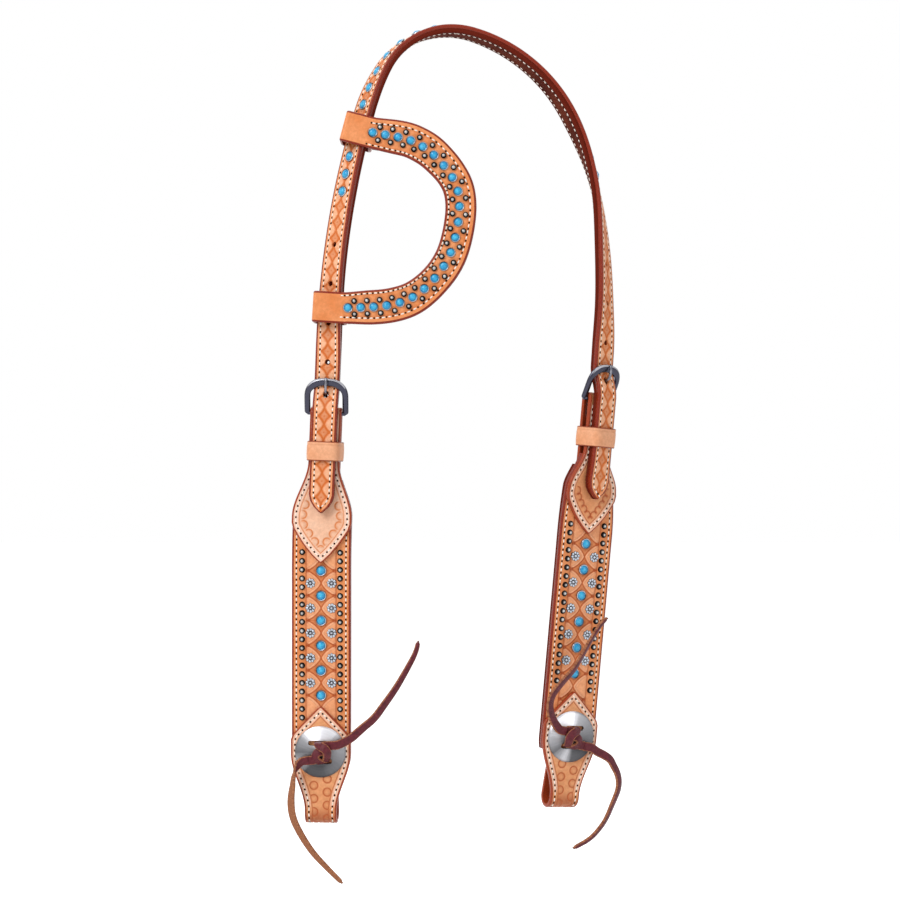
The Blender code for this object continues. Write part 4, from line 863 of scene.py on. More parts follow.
def bezel_shape(diameter, wall, height, count):
    """A thin collar with a rounded top round a stone, notched by the setting tool. Its mask
    darkens its foot and, as painted shade, the side turned away from BEZEL_LIT, which is left
    bright as a painted highlight.
    """
    verts, mask = [], []
    for k, a in enumerate(turns_of(count)):
        dip = BEZEL_NOTCH * (k % 2)
        for across, up, wear_and_shine in BEZEL_SECTION:
            reach = diameter / 2 + wall * (across - dip * across)
            level = height * (up - dip * (up > 0))
            verts.append((reach * math.cos(a), reach * math.sin(a), level))
            # Painted shade on the side turned away from BEZEL_LIT
            mask.append(min(1.0, wear_and_shine + BEZEL_SHADE * (0.5 - 0.5 * math.cos(a - BEZEL_LIT))))
    return np.array(verts), ring_faces(count, len(BEZEL_SECTION), closed=True), np.array(mask)


def rosette_shape():
    """A pressed flower with eight petals, each with a rib, round a raised cup."""
    count, rings = ROSETTE_GRID
    verts, mask = [(0.0, 0.0, ROSETTE_HEIGHT)], [0.0]
    for r in range(1, rings + 1):
        share = r / rings
        cup = math.exp(-((share / ROSETTE_CUP) ** 4))
        moat = math.exp(-(((share - ROSETTE_MOAT) / ROSETTE_MOAT_WIDTH) ** 2))
        for a in turns_of(count):
            wave = abs(math.cos(ROSETTE_PETALS / 2 * a))
            lobe = wave**0.6
            edge = PETAL_VALLEY + (1 - PETAL_VALLEY) * lobe
            bow = edge if share > 0.5 else 1 + (edge - 1) * share * 2
            reach = ROSETTE_DIAMETER / 2 * share * bow
            petal = 0.62 * (1 - 0.5 * share**2) * (0.45 + 0.55 * lobe)
            rib = 0.1 * math.exp(-(((wave - 1) / 0.05) ** 2))
            rise = cup * 0.95 + (1 - cup) * (petal - rib) - 0.25 * moat
            level = ROSETTE_HEIGHT * (rise if r < rings else -0.3)
            verts.append((reach * math.cos(a), reach * math.sin(a), level))
            mask.append(min(1.0, 0.9 * (1 - lobe) * (share > 0.3) + moat + (r >= rings - 1)))
    return np.array(verts), disc_faces(rings, count), np.array(mask)


def stitch_shape():
    """One laid stitch of waxed thread, plump in the middle and pulled down at both ends."""
    rings, count = STITCH_GRID
    verts = []
    for t in np.linspace(-1, 1, rings):
        fat = math.sqrt(max(0.0, 1 - abs(t) ** 3)) * 0.92 + 0.08
        for a in turns_of(count):
            aside, level = STITCH_WIDTH / 2 * fat * math.cos(a), fat * math.sin(a) - 0.9 * t * t
            verts.append((STITCH_LENGTH / 2 * t, aside, STITCH_RISE * level))
    return np.array(verts), tube_faces(rings, count), np.zeros(len(verts))


def needle_hole_shape():
    """The dark mouth of a needle hole: a shallow dish of painted shade whose rim stands just over
    the leather.
    """
    return lathe([(NEEDLE_HOLE * x, NEEDLE_HOLE * z, 1.0) for x, z in NEEDLE_HOLE_ROWS], 8)


def sew(heap, sheet, line, level):
    """Stitches and their needle holes along a line of (u, y) on a sheet."""
    count = max(2, round(run_length(np.array(line))[-1] / STITCH_PITCH) + 1)
    stitch, hole = stitch_shape(), needle_hole_shape()
    for (u, y), (du, dy) in zip(*spread(line, count)):
        angle = math.atan2(dy, du)
        heap.add(hole, sheet_spot(sheet, u, y, level, angle), 1)
        u_on, y_on = u + du * STITCH_PITCH / 2, y + dy * STITCH_PITCH / 2
        if y_on < sheet["y"][-1]:
            heap.add(stitch, sheet_spot(sheet, u_on, y_on, level, angle), 0)


def make_seams(name, body, looks, rows):
    """Rows of stitches, each a sheet, a line on it and a level, as one piece."""
    heap = Heap()
    for sheet, line, level in rows:
        sew(heap, sheet, line, level)
    declare(heap.build(name, [looks["thread"], looks["hole"]]), body)


class Studs(Heap):
    """Stones, spots and flowers set on a sheet at a level."""

    def __init__(self, sheet, level, stone, spot_width=SPOT_DIAMETER * 0.97):
        super().__init__()
        self.sheet, self.level = sheet, level
        width, bezel_width, wall, notches = stone
        self.cabochon = dome_shape(width, TURQUOISE_HEIGHT, 24)
        self.bezel = bezel_shape(bezel_width, wall, TURQUOISE_HEIGHT / 2, notches)
        self.dot = dome_shape(spot_width, SPOT_HEIGHT, 20)

    def stone(self, u, at):
        matrix = sheet_spot(self.sheet, u, at, self.level)
        self.add(self.cabochon, matrix, 0)
        self.add(self.bezel, matrix, 2)

    def spot(self, u, at):
        self.add(self.dot, sheet_spot(self.sheet, u, at, self.level), 1)

    def finish(self, name, body, looks):
        item = self.build(name, [looks[k] for k in ("turquoise", "silver", "pressed_silver")])
        declare(item, body)


def declare(item, body, material_slot=None, *nodes):
    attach(item, body)
    if nodes:
        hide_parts(*nodes)


# Tooling: each pattern gives a height and masks of carved lines and stamped ground; the ground
# mask also brings painted shade, and below 0 lightens raised parts, partly a painted highlight


def groove(distance, width):
    """A V-shaped carved line as a share, from the distance to its middle."""
    return np.exp(-((distance / (width / 2)) ** 2))


def stitch_channel(distance):
    return groove(distance, STITCH_WIDTH * 1.6)


def ring_stamps(u, y, places, radius):
    """Round stamps: a pressed ring round a cushion."""
    height, mark = u * 0, u * 0
    for x, at in places:
        d = np.hypot(u - x, y - at)
        line = groove(d - radius, radius * RING_LINE_SHARE)
        cushion = soft(radius - d, 0.0, radius)
        shade = soft(radius - d, 0.0, radius * RING_SHADE_SHARE) * (1 - cushion)
        height += GROOVE * (0.5 * cushion - 1.2 * line)
        mark += line + 0.35 * shade * (d < radius)
    return height, np.minimum(mark, 1.0)


def grain_of_stamps(u, y, pitch):
    """The small pits that a ground stamp leaves, in staggered rows: 1 in a pit."""
    x = u / pitch + 0.5 * (np.floor(y / pitch) % 2)
    near = np.hypot((x % 1.0) - 0.5, (y / pitch % 1.0) - 0.5)
    return 1 - soft(near, 0.12, 0.45)


def outside_petal(across, along, room, pitch):
    """How far places lie outside a petal that leans in by the room to a point in the middle."""
    a, b = PETAL_CURVES
    t = np.clip(np.abs(along) / (pitch / 2), 1e-4, 1 - 1e-4)
    reach = (1 - t**a) ** b
    slope = room * a * b * t ** (a - 1) * (1 - t**a) ** (b - 1) / (pitch / 2)
    return (room * (1 - reach) - across) / np.sqrt(1 + slope**2)


def crown_tooling(u, y, half):
    """Petals that lean in from both rows of stitches and cross, with diamonds between."""
    beside = np.maximum(half - STITCH_INSET - CARVE_OFF_STITCH, MM / 2)
    phase = (y - CROWN_MOTIF_START) / CROWN_MOTIF % 1.0
    along = (phase - np.round(phase)) * CROWN_MOTIF
    across = np.abs(u)
    field = 1 - soft(across - beside, 0.0, CARVE_WIDTH / 2)
    outside = outside_petal(across, along, beside, CROWN_MOTIF)
    line = groove(outside, CROWN_LINE) * field
    ground = soft(outside, CARVE_WIDTH * 0.2, CARVE_WIDTH * 0.9) * field
    pits = grain_of_stamps(u, y, GROUND_PITCH)
    seed = 0.8 * groove(np.hypot(u, (phase - 0.5) * CROWN_MOTIF), CROWN_SEED)
    petal = soft(-outside, CARVE_WIDTH * 0.3, CARVE_WIDTH * 1.6) * field
    pressed = 1.3 * line + ground * (0.6 + 0.7 * pits) + seed
    pressed += 0.7 * stitch_channel(across - (half - STITCH_INSET))
    carved = np.clip(line + seed + 0.3 * ground * pits, 0, 1)
    margin = soft(across - beside, 0.0, CARVE_WIDTH)
    # Petals and the margins by the stitches are painted lighter: partly the lighter high spots of
    # tooled leather, partly a painted highlight
    light = PETAL_LIGHT * (0.8 * petal + 0.4 * margin)
    return GROOVE * (0.5 * petal - pressed), carved, 0.5 * ground - light


def cheek_tooling(side):
    """Lobes that swell from both borders to each rosette, stamped stars at the turquoise."""
    first, pitch = FIELD_FIRST[side], FIELD_PITCH[side]
    run = range(-1, FIELD_COUNT + 1)
    stamps = [(sign * RING_PLACE, first + k * pitch) for k in run for sign in (-1, 1)]

    def pattern(u, y, half):
        phase = ((y - first) / pitch) % 1.0
        across = np.abs(u)
        outside = outside_petal(across, (phase - 0.5) * pitch, CHEEK_BORDER, pitch)
        field = soft(CHEEK_BORDER - across, -CARVE_WIDTH / 4, CARVE_WIDTH / 4)
        line = groove(outside, CARVE_WIDTH) * field
        second = groove(outside + LOBE_LIP, CARVE_WIDTH * 0.8) * field
        border = groove(across - CHEEK_BORDER, CARVE_WIDTH * 1.2)
        pits = grain_of_stamps(u, y, GROUND_PITCH)
        middle = np.abs(((phase + 0.5) % 1.0) - 0.5) * pitch
        rays = groove(np.sin(4 * np.arctan2(across, middle + 1e-6)) * MM, MM * 0.9)
        star_edges = TURQUOISE_DIAMETER * 0.5, TURQUOISE_DIAMETER * 0.95
        star = 1 - soft(np.hypot(u, middle), *star_edges)
        ground = soft(outside, 0.0, CARVE_WIDTH) * field
        lobe = soft(-outside - LOBE_LIP, 0.0, CARVE_WIDTH) * field
        lip = soft(-outside, 0.0, CARVE_WIDTH) * (1 - lobe) * field
        stamped, mark = ring_stamps(u, y, stamps, RING_RADIUS)
        pressed = 1.5 * line + 0.8 * second + 1.2 * border + ground * (0.6 + 0.4 * (pits + rays))
        pressed += 0.8 * stitch_channel(across - (half - STITCH_INSET))
        height = GROOVE * (0.6 * lobe + 0.35 * lip - pressed) + stamped
        carved = line + 0.4 * second + 0.7 * border + mark + 0.5 * star * ground * rays
        shaded = ground * (0.35 + 0.3 * pits + 0.45 * star)
        # Lobes and lips are painted lighter: partly the lighter high spots of tooled leather,
        # partly a painted highlight
        light = PETAL_LIGHT * (0.55 * lobe + 0.9 * lip)
        return height, np.clip(carved, 0, 1), np.clip(shaded - light, -1, 1)

    return pattern


def outline_distance(u, y, outline):
    """How far places on flat leather are from the nearest side of an outline."""
    points = np.array(outline, float)
    best = np.full(u.shape, 1.0)
    for a, b in zip(points, points[1:]):
        way = b - a
        size = way.dot(way)
        if size >= 1e-12:
            t = np.clip(((u - a[0]) * way[0] + (y - a[1]) * way[1]) / size, 0, 1)
            best = np.minimum(best, np.hypot(u - a[0] - way[0] * t, y - a[1] - way[1] * t))
    return best


def inset_line(outline, inset):
    """A line inside an outline that is listed down one side and up the other."""
    points = np.array(outline, float)
    found = []
    for k, point in enumerate(points):
        ways = (point - points[max(k - 1, 0)], points[min(k + 1, len(points) - 1)] - point)
        ways = [w / np.linalg.norm(w) for w in ways if np.linalg.norm(w) > TINY]
        normals = [np.array((-w[1], w[0])) for w in ways]
        normal = sum(normals) / np.linalg.norm(sum(normals))
        found.append(point + normal * inset / max(0.3, normal.dot(normals[0])))
    found = np.array(found)
    clear = outline_distance(found[:, 0], found[:, 1], outline)
    return [tuple(p) for p, c in zip(found, clear) if c > inset * 0.93]


def overlay_tooling(outline, stamps, open_stamps, fold):
    """A carved line inside the edge, round stamps, a margin painted lighter (partly a painted
    highlight) and painted shade darkening the fold at the end.
    """

    def pattern(u, y, half):
        depth = outline_distance(u, y, outline)
        line = groove(depth - OVERLAY_LINE, CARVE_WIDTH * 0.8)
        stamped, mark = ring_stamps(u, y, stamps, STAMP_RADIUS)
        room = (OVERLAY_LINE + STAMP_RADIUS * share for share in (0.1, open_stamps))
        inside = soft(depth, *room)
        height = -GROOVE * (1.2 * line + 0.7 * stitch_channel(depth - OVERLAY_STITCH))
        margin = 1 - soft(depth, OVERLAY_LINE - CARVE_WIDTH, OVERLAY_LINE)
        # Painted shade darkens the fold; the margin inside the carved line is painted lighter,
        # partly a painted highlight
        shade = FOLD_SHADE * soft(y, fold - FOLD_RUN, fold + FOLD_RUN / 2)
        ground = shade - PETAL_LIGHT * margin * (1 - shade)
        return height + stamped * inside, np.clip(0.8 * line + mark * inside, 0, 1), ground

    return pattern


def ear_tooling(low, high, studs):
    """A smooth band with stitch channels, a fine line beside each and hollows round the studs,
    darkened with painted shade.
    """

    def pattern(u, y, half):
        band = soft(y, low - EAR_STITCH_LEAD - MM, low - EAR_STITCH_LEAD)
        band = band * (1 - soft(y, high, high + MM))
        channels, line = 0.0, 0.0
        for sign, inset in zip((-1, 1), EAR_STITCH):
            channels = channels + stitch_channel(u + sign * (half - inset))
            line = line + groove(u + sign * (half - inset - MM), CARVE_WIDTH)
        near = np.full(u.shape, EAR_WIDTH)
        for x, at in studs:
            near = np.minimum(near, np.hypot(u - x, y - at))
        # Painted shade round the studs
        hollow = 1 - soft(near, *EAR_STUD_SHADE)
        pebbles = grain_of_stamps(u, y, GROUND_PITCH * 1.2)
        pressed = band * (0.7 * channels + 0.5 * line) + hollow * (1.1 + 0.5 * pebbles)
        carved, ground = 0.3 * line * band, hollow * (0.4 + 0.5 * pebbles)
        return -GROOVE * pressed, np.clip(carved, 0, 1), np.clip(ground, 0, 1)

    return pattern


# The crown strap


def strap_half(s):
    share = (min(s, CROWN_SPAN - s) + TAIL_LENGTH) / TIP_LENGTH
    return STRAP_WIDTH / 2 * max(0.05, np.interp(share, *zip(*TIP_SHARES)))


def hole_places():
    """Each hole's number, a buckle's own the first, and its distance along the spine."""
    for side in SIDES:
        others = [NEXT_HOLE[side] + k * HOLE_PITCH for k in range(HOLE_COUNT[side] - 1)]
        for k, at in enumerate([TONGUE_HOLE] + others):
            yield k, at if side == "left" else CROWN_SPAN - at


def add_drum(tool, matrix, segments):
    bmesh.ops.create_cone(
        tool, cap_ends=True, segments=segments, radius1=1, radius2=1, depth=1, matrix=matrix
    )


def punched(item, sheet, hole_share, back, face):
    """Cuts the strap's holes through a bent sheet."""
    tool = bmesh.new()
    for k, at in hole_places():
        share = hole_share if k else max(hole_share, TONGUE_HOLE_SHARE)
        half_length = (HOLE_DIAMETER if k else TONGUE_HOLE_LENGTH) / 2 * share
        shape = Matrix.Diagonal((HOLE_DIAMETER / 2 * share, half_length, face - back, 1.0))
        spot = Matrix(sheet_spot(sheet, 0.0, at, (face + back) / 2).tolist())
        add_drum(tool, spot @ shape, 32)
    cut_with(item, tool)


def cut_with(item, tool):
    """Cuts a tool solid out of a piece and keeps the piece's masks."""
    mesh = bpy.data.meshes.new("tool")
    tool.to_mesh(mesh)
    tool.free()
    cutter = bpy.data.objects.new("tool", mesh)
    bpy.context.scene.collection.objects.link(cutter)
    modifier = item.modifiers.new("cut", "BOOLEAN")
    modifier.operation, modifier.solver, modifier.object = "DIFFERENCE", "EXACT", cutter
    bpy.context.view_layer.update()
    depsgraph = bpy.context.evaluated_depsgraph_get()
    cut = bpy.data.meshes.new_from_object(item.evaluated_get(depsgraph))
    item.modifiers.clear()
    item.data = cut
    cut.shade_smooth()
    bpy.data.objects.remove(cutter, do_unlink=True)


def round_point(rim, sign):
    """An outline up one side of a pointed end and down the other."""
    return [(sign * u, at) for u, at in reversed(rim)] + [(-sign * u, at) for u, at in rim[1:]]


def make_crown(looks):
    low, high = -TAIL_LENGTH, CROWN_SPAN + TAIL_LENGTH
    sheet, behind = (
        laid(stations(low, high, step, TIP_LENGTH, TIP_LENGTH), strap_axes, over)
        for step, over in ((FINE_STEP, 1), (COARSE_STEP, -1))
    )
    top = STRAP_THICKNESS / 2
    middle = LINING_LEATHER + GAP - top
    face = leather(
        "crown_strap_face", sheet, strap_half, (top, middle), crown_tooling, looks["crown"],
        FLAT_BACK, 41,
    )
    punched(face, sheet, 1.0, middle - FACE_LEATHER, top + FACE_LEATHER)
    declare(face, "headstall", "tooled_leather", "crown_face")
    lining = leather(
        "crown_strap_lining", behind, strap_half, (top, top - LINING_LEATHER - TIGHT), plain,
        looks["lining"], FLAT_BACK, 9,
    )
    punched(lining, sheet, 0.5, -top - FACE_LEATHER, middle + FACE_LEATHER / 3)
    declare(lining, "headstall", "lining_leather", "crown_lining")
    studs = Studs(sheet, top, WIDE_STONE)
    for k in range(CROWN_STUD_COUNT):
        studs.stone(0.0, CROWN_STUD_FIRST + k * CROWN_STUD_PITCH)
    studs.finish("crown_strap_stones", "headstall", looks)
    rows = []
    for sign, end in ((-1, low), (1, high)):
        run = end - sign * np.arange(0.0, CROWN_SPAN / 2 + TAIL_LENGTH, MM)
        outline = round_point([(strap_half(s) if s != end else 0.0, s) for s in run], 1)
        line = inset_line(outline[::sign], STITCH_INSET)
        rows += [(sheet, line, top - GROOVE * 0.5), (behind, line, top)]
    make_seams("crown_strap_stitching", "headstall", looks, rows)


# Cheeks


def make_cheek(side, looks):
    def half(v):
        return half_width(side, v) - GAP

    def axes(v):
        return side_axes(side, v)

    sheet = laid(stations(CHEEK_TOP, CHEEK_END, FINE_STEP), axes)
    face = leather(
        side + "_cheek_panel", sheet, half, (CHEEK_FACE, CHEEK_BACK), cheek_tooling(side),
        looks["tooled"], FLAT_BACK, 97,
    )
    declare(face, "headstall", "tooled_leather", side + "_cheek_face")
    behind = laid(stations(BACK_LEAF_END + GAP, CHEEK_END, COARSE_STEP), axes, -1)
    lining = leather(
        side + "_cheek_back", behind, half, (0.0, -LEAF_LEATHER - TIGHT), plain, looks["lining"],
        FLAT_BACK, 9,
    )
    declare(lining, "headstall", "lining_leather", side + "_cheek_lining")
    studs = Studs(sheet, CHEEK_FACE, WIDE_STONE)
    flower = rosette_shape()
    for k in range(FIELD_COUNT):
        at = FIELD_FIRST[side] + k * FIELD_PITCH[side]
        studs.stone(0.0, at)
        for sign in (-1, 1) if k < FIELD_COUNT - 1 else ():
            turn = 0.2 * math.sin(7.0 * k + sign)
            middle = at + FIELD_PITCH[side] / 2
            spot = sheet_spot(sheet, sign * ROSETTE_OFFSET, middle, CHEEK_FACE, turn)
            studs.add(flower, spot, 2)
    for k in range(SPOT_COUNT):
        for sign in (-1, 1):
            studs.spot(sign * SPOT_OFFSET, SPOT_FIRST[side] + k * SPOT_PITCH)
    studs.finish(side + "_cheek_studs", "headstall", looks)
    rows = []
    run = np.arange(SPADE_REACH[side] - SPADE_POINT, BILLET_PEAK + BILLET_POINT, MM)
    for sign in (-1, 1):
        line = [(sign * (half(v) - STITCH_INSET), v) for v in run]
        rows += [(sheet, line, CHEEK_FACE - GROOVE * 0.5), (behind, line, 0.0)]
    make_seams(side + "_cheek_stitching", "headstall", looks, rows)


def folded(side, runs, start, heading, outward):
    """The frames of a strip that is folded on a path of arcs in the plane of v and n."""

    def at(l, t):
        v, n, turned = follow(runs, 0.0, heading, l)
        angle = math.radians(turned)
        aside = t * outward
        return start[0] + v + math.cos(angle) * aside, start[1] + n - math.sin(angle) * aside

    def axes(l):
        step = MM / 10
        here = at(l, 0.0)
        across, level, down = side_axes(side, here[0])[1:]
        out, ahead = (
            (down * (q[0] - p[0]) + level * (q[1] - p[1])).normalized()
            for p, q in ((here, at(l, step)), (at(l - step, 0.0), at(l + step, 0.0)))
        )
        return side_place(side, 0.0, *here), across, out, ahead

    return axes


def make_overlay(names, sheet, half, outline, tooling, look, looks, slot=None, sewn=1.0):
    """A pointed overlay and its seam; the names are the piece's, the seam's and the node's."""
    level = LEAF_LEATHER / 2
    rounds = (EDGE_ROUND, EDGE_ROUND / 2)
    item = leather(names[0], sheet, half, (level, -level), tooling, looks[look], rounds, 91)
    if slot is not None:
        cut_with(item, slot)
    declare(item, "headstall", "overlay_leather", names[2])
    line = [p for p in inset_line(outline, OVERLAY_STITCH) if p[1] < sewn]
    make_seams(names[1], "headstall", looks, [(sheet, line, level - GROOVE * 0.5)])


def make_top_billet(side, looks):
    """The spade overlay, whose neck folds back round the buckle's heel bar."""
    reach = SPADE_REACH[side]
    mid_level = (FRONT_LEAF_BACK + FRONT_LEAF_FACE) / 2
    fold_length = math.pi * (mid_level - BAR_LEVEL)
    runs = ((reach, 0.0), (fold_length, -180.0), (BACK_LEAF_END, 0.0))
    places = stations(0.0, reach + fold_length + BACK_LEAF_END, FINE_STEP, SPADE_POINT / 3)
    sheet = laid(places, folded(side, runs, (reach, mid_level), -90.0, 1))

    def half(l):
        if l >= SPADE_POINT:
            return half_width(side, reach - l)
        tip = np.interp(1 - l / SPADE_POINT, *zip(*SPADE_SHARES))
        return max(MM / 4, CHEEK_WIDTH / 2 * tip)

    outline = round_point([(half(l) if l else 0.0, l) for l in np.arange(0.0, reach, MM)], -1)
    stamp_end = reach - NECK_LENGTH - SPADE_STAMP_ROOM
    stamp_line = [p for p in inset_line(outline, STAMP_INSET) if p[1] < stamp_end]
    tooling = overlay_tooling(outline, spread(stamp_line, SPADE_STAMPS)[0], 1.0, reach)
    slot = bmesh.new()
    middle = sheet_spot(sheet, 0.0, reach + fold_length / 2, -FRONT_LEAF_BACK / 2)
    long = fold_length / 2 + TONGUE_SLOT_REACH + MM
    shape = Matrix.Diagonal((TONGUE_SLOT_WIDTH, long, FRONT_LEAF_BACK * 4, 1.0))
    bmesh.ops.create_cube(slot, size=1, matrix=Matrix(middle.tolist()) @ shape)
    names = [side + part for part in ("_spade_billet", "_spade_stitching", "_top_billet")]
    # The right spade takes the darker bit-end leather, a shaded copy of the overlay leather:
    # painted shade
    look = "overlay" if side == "left" else "bit_end"
    sewn = reach - SPADE_SEAM_ROOM
    make_overlay(names, sheet, half, outline, tooling, look, looks, slot, sewn)


def loop_runs():
    """The path of the bit end: down the front, round the open loop and up behind the cheek."""
    mid_front = (FRONT_LEAF_BACK + FRONT_LEAF_FACE) / 2
    mid_back = -GAP - LEAF_LEATHER / 2
    radius = (LOOP_DEPTH + LEAF_LEATHER) / 2
    close = math.radians(LOOP_CLOSE_ANGLE)
    back_level = mid_front - radius * (1 + math.cos(close))
    ease = LOOP_CLOSE_RADIUS * (1 - math.cos(close))
    bottom = (
        (LOOP_BOTTOM - LEAF_LEATHER / 2 - radius - BILLET_PEAK, 0.0),
        (radius * math.pi, 180.0),
        (radius * close, LOOP_CLOSE_ANGLE),
        ((mid_back - back_level - ease) / math.sin(close), 0.0),
        (LOOP_CLOSE_RADIUS * close, -LOOP_CLOSE_ANGLE),
    )
    v = BILLET_PEAK + follow(bottom, 0.0, 90.0, sum(run[0] for run in bottom))[0]
    return bottom + ((v - LOOP_BACK_END, 0.0),), mid_front


def make_bit_billet(side, looks):
    """The lower overlay, which folds into the loop that carries the bit."""
    runs, mid_front = loop_runs()
    places = stations(0.0, sum(run[0] for run in runs), FINE_STEP, BILLET_POINT / 3)
    sheet = laid(places, folded(side, runs, (BILLET_PEAK, mid_front), 90.0, -1))

    def half(l):
        if l >= BILLET_POINT:
            return half_width(side, BILLET_PEAK + l)
        return max(MM / 4, CHEEK_WIDTH / 2 * np.interp(l / BILLET_POINT, *zip(*PEAK_SHARES)))

    front = LOOP_BOTTOM - BILLET_PEAK + LOOP_DEPTH / 3
    outline = round_point([(half(l) if l else 0.0, l) for l in np.arange(0.0, front, MM)], -1)
    stamps = [
        (sign * BILLET_STAMPS, l - BILLET_STAMP_PITCH * (sign + 1) / 4)
        for l in front - BILLET_STAMP_ROOM - np.arange(5) * BILLET_STAMP_PITCH
        for sign in (-1, 1)
    ]
    tooling = overlay_tooling(outline, stamps, 0.2, runs[0][0])
    names = [side + part for part in ("_bit_end", "_bit_end_stitching", "_bit_billet")]
    make_overlay(names, sheet, half, outline, tooling, "bit_end", looks)


# Loops and keepers


def wrap_line(front, back, low, high, radius, count):
    """Even points round a block, at a distance: it is front wide at high, back wide at low."""
    lean = math.atan2((back - front) / 2, high - low)
    right, left = lean, math.pi - lean
    arcs = (
        (front / 2, high, right, math.pi / 2),
        (-front / 2, high, math.pi / 2, left),
        (-back / 2, low, left, math.pi * 1.5),
        (back / 2, low, math.pi * 1.5, math.tau + right),
    )
    line = [
        (x + radius * math.cos(a), y + radius * math.sin(a))
        for x, y, start, end in arcs
        for a in np.linspace(start, end, 11)
    ]
    return spread(line + line[:1], count + 1)[0][:-1]


def eased(padded, kernel):
    kernel = kernel / kernel.sum()
    return np.stack([np.convolve(column, kernel, "valid") for column in padded.T], 1)


def leather_loop(name, block, slack, thickness, length, matrix, material):
    """A loop of leather round a block, bellied, with burnished edges and a crease at one."""
    count = LOOP_POINTS
    inner, outer = (wrap_line(*block, slack + deep, count) for deep in (0.0, thickness))
    kernel = np.hanning(KEEPER_EASE)[1:-1]
    ends = len(kernel) // 2
    outer = eased(np.concatenate([outer[-ends:], outer, outer[:ends]]), kernel)
    ease = thickness * KEEPER_ROUND
    corner = [(1 - KEEPER_ROUND * (1 - s), length / 2 - ease * (1 - c)) for s, c in quarter(4)]
    half = [(0.0, length / 2)] + corner
    flat = [(1.0, (length / 2 - ease) * t) for t in np.linspace(1, -1, 27)[1:-1]]
    share, z = np.array(half + flat + [(d, -z) for d, z in reversed(half)]).T
    beside = length / 2 - np.abs(z)
    dent = groove(beside - LOOP_CREASE, CARVE_WIDTH) * (share == 1.0) * (z < 0)
    swell = share * (1 + KEEPER_BELLY * (1 - (2 * z / length) ** 2) - 0.1 * dent)
    points = inner + (outer - inner) * swell[:, None, None]
    lengthwise = np.repeat(z, count)
    verts = np.column_stack([points.reshape(-1, 2), lengthwise])
    edge = np.where(share > 0, 1 - soft(beside, MM * 0.45, MM * 0.8), 1.0)
    masks = {"edge": edge, "carved": dent * 0.25, "ground": dent * 0}
    masks = {key: np.repeat(values, count) for key, values in masks.items()}
    layout = np.stack([lengthwise, np.tile(np.arange(count) * 0.6 * MM, len(z))], 1)
    faces = ring_faces(len(z), count, closed=True)
    return make_mesh(name, placed(verts, matrix), faces, masks, layout, [material])


def make_keeper(side, looks):
    block = (STRAP_WIDTH, NECK_WIDTH, -STRAP_FACE / 2, STRAP_FACE / 2)
    matrix = side_matrix(side, KEEPER_TOP + KEEPER_LENGTH / 2, STRAP_FACE / 2) @ QUARTER_X
    item = leather_loop(
        side + "_keeper_band", block, GAP, KEEPER_LEATHER, KEEPER_LENGTH, matrix, looks["plain"]
    )
    declare(item, side + "_keeper_loop", "plain_leather", side + "_keeper")


def strap_reach(at):
    """Half the room the turned strap takes inside an ear loop, across it and front to back."""
    low = at - EAR_LOOP_LENGTH / 2 - EAR_TRAVEL_DOWN
    high = at + EAR_LOOP_LENGTH / 2 + EAR_TRAVEL_UP
    rolls = np.radians([roll_at(s) for s in np.linspace(low, high, 17)])
    half_w, half_t = STRAP_WIDTH / 2, STRAP_THICKNESS / 2
    across = half_w * np.cos(rolls) + half_t * np.sin(rolls)
    deep = half_w * np.sin(rolls) + half_t * np.cos(rolls)
    return float(across.max()), float(deep.max())


def ear_loop_frame(at):
    """At an ear loop's middle: x across to the ear, y out to the front, z down the strap."""
    along = axes_at(at)[0]
    turned = Matrix((along.cross(FRONT), FRONT, -along)).transposed().to_4x4()
    return Matrix.Translation(spine_origin(at)) @ turned


def beside_loop(at, reach):
    spot = ear_loop_frame(at) @ Vector((reach, 0.0, 0.0))
    return spot.x, spot.z


def ear_line(extra):
    """The middle line of the ear band, from the upper loop round the ear to the lower one."""
    upper, lower = (spine_origin(at) for at in EAR_PLACES)
    down = lower - upper
    out = FRONT.cross(down).normalized()
    room = EAR_LOOP_SLACK + GAP + extra
    joins = [beside_loop(at, strap_reach(at)[0] + room) for at in EAR_PLACES]
    bow = [upper + down * along + out * EAR_REACH * far for far, along in EAR_LINE_SHARES]
    return smooth_line([joins[0]] + [(spot.x, spot.z) for spot in bow] + [joins[1]], 3)


def band_frames(line, step, level):
    """The stations and frames of a band on a line in the plane of the front, eased along it."""
    spots, ways = spread(line, round(run_length(np.array(line))[-1] / step))
    half = round(EAR_WIDTH * EAR_EASE_SHARE / step)
    run = np.arange(1, half + 1)[:, None] * step
    ends = spots[0] - ways[0] * run[::-1], spots[-1] + ways[-1] * run
    spots = eased(np.concatenate([ends[0], spots, ends[1]]), np.hanning(half * 2 + 1))
    frames = []
    for (x, z), (dx, dz) in zip(spots, unit_rows(np.gradient(spots, axis=0))):
        along = Vector((dx, 0.0, dz))
        frames.append((Vector((x, -level, z)), FRONT.cross(along), FRONT, along))
    return run_length(spots), frames


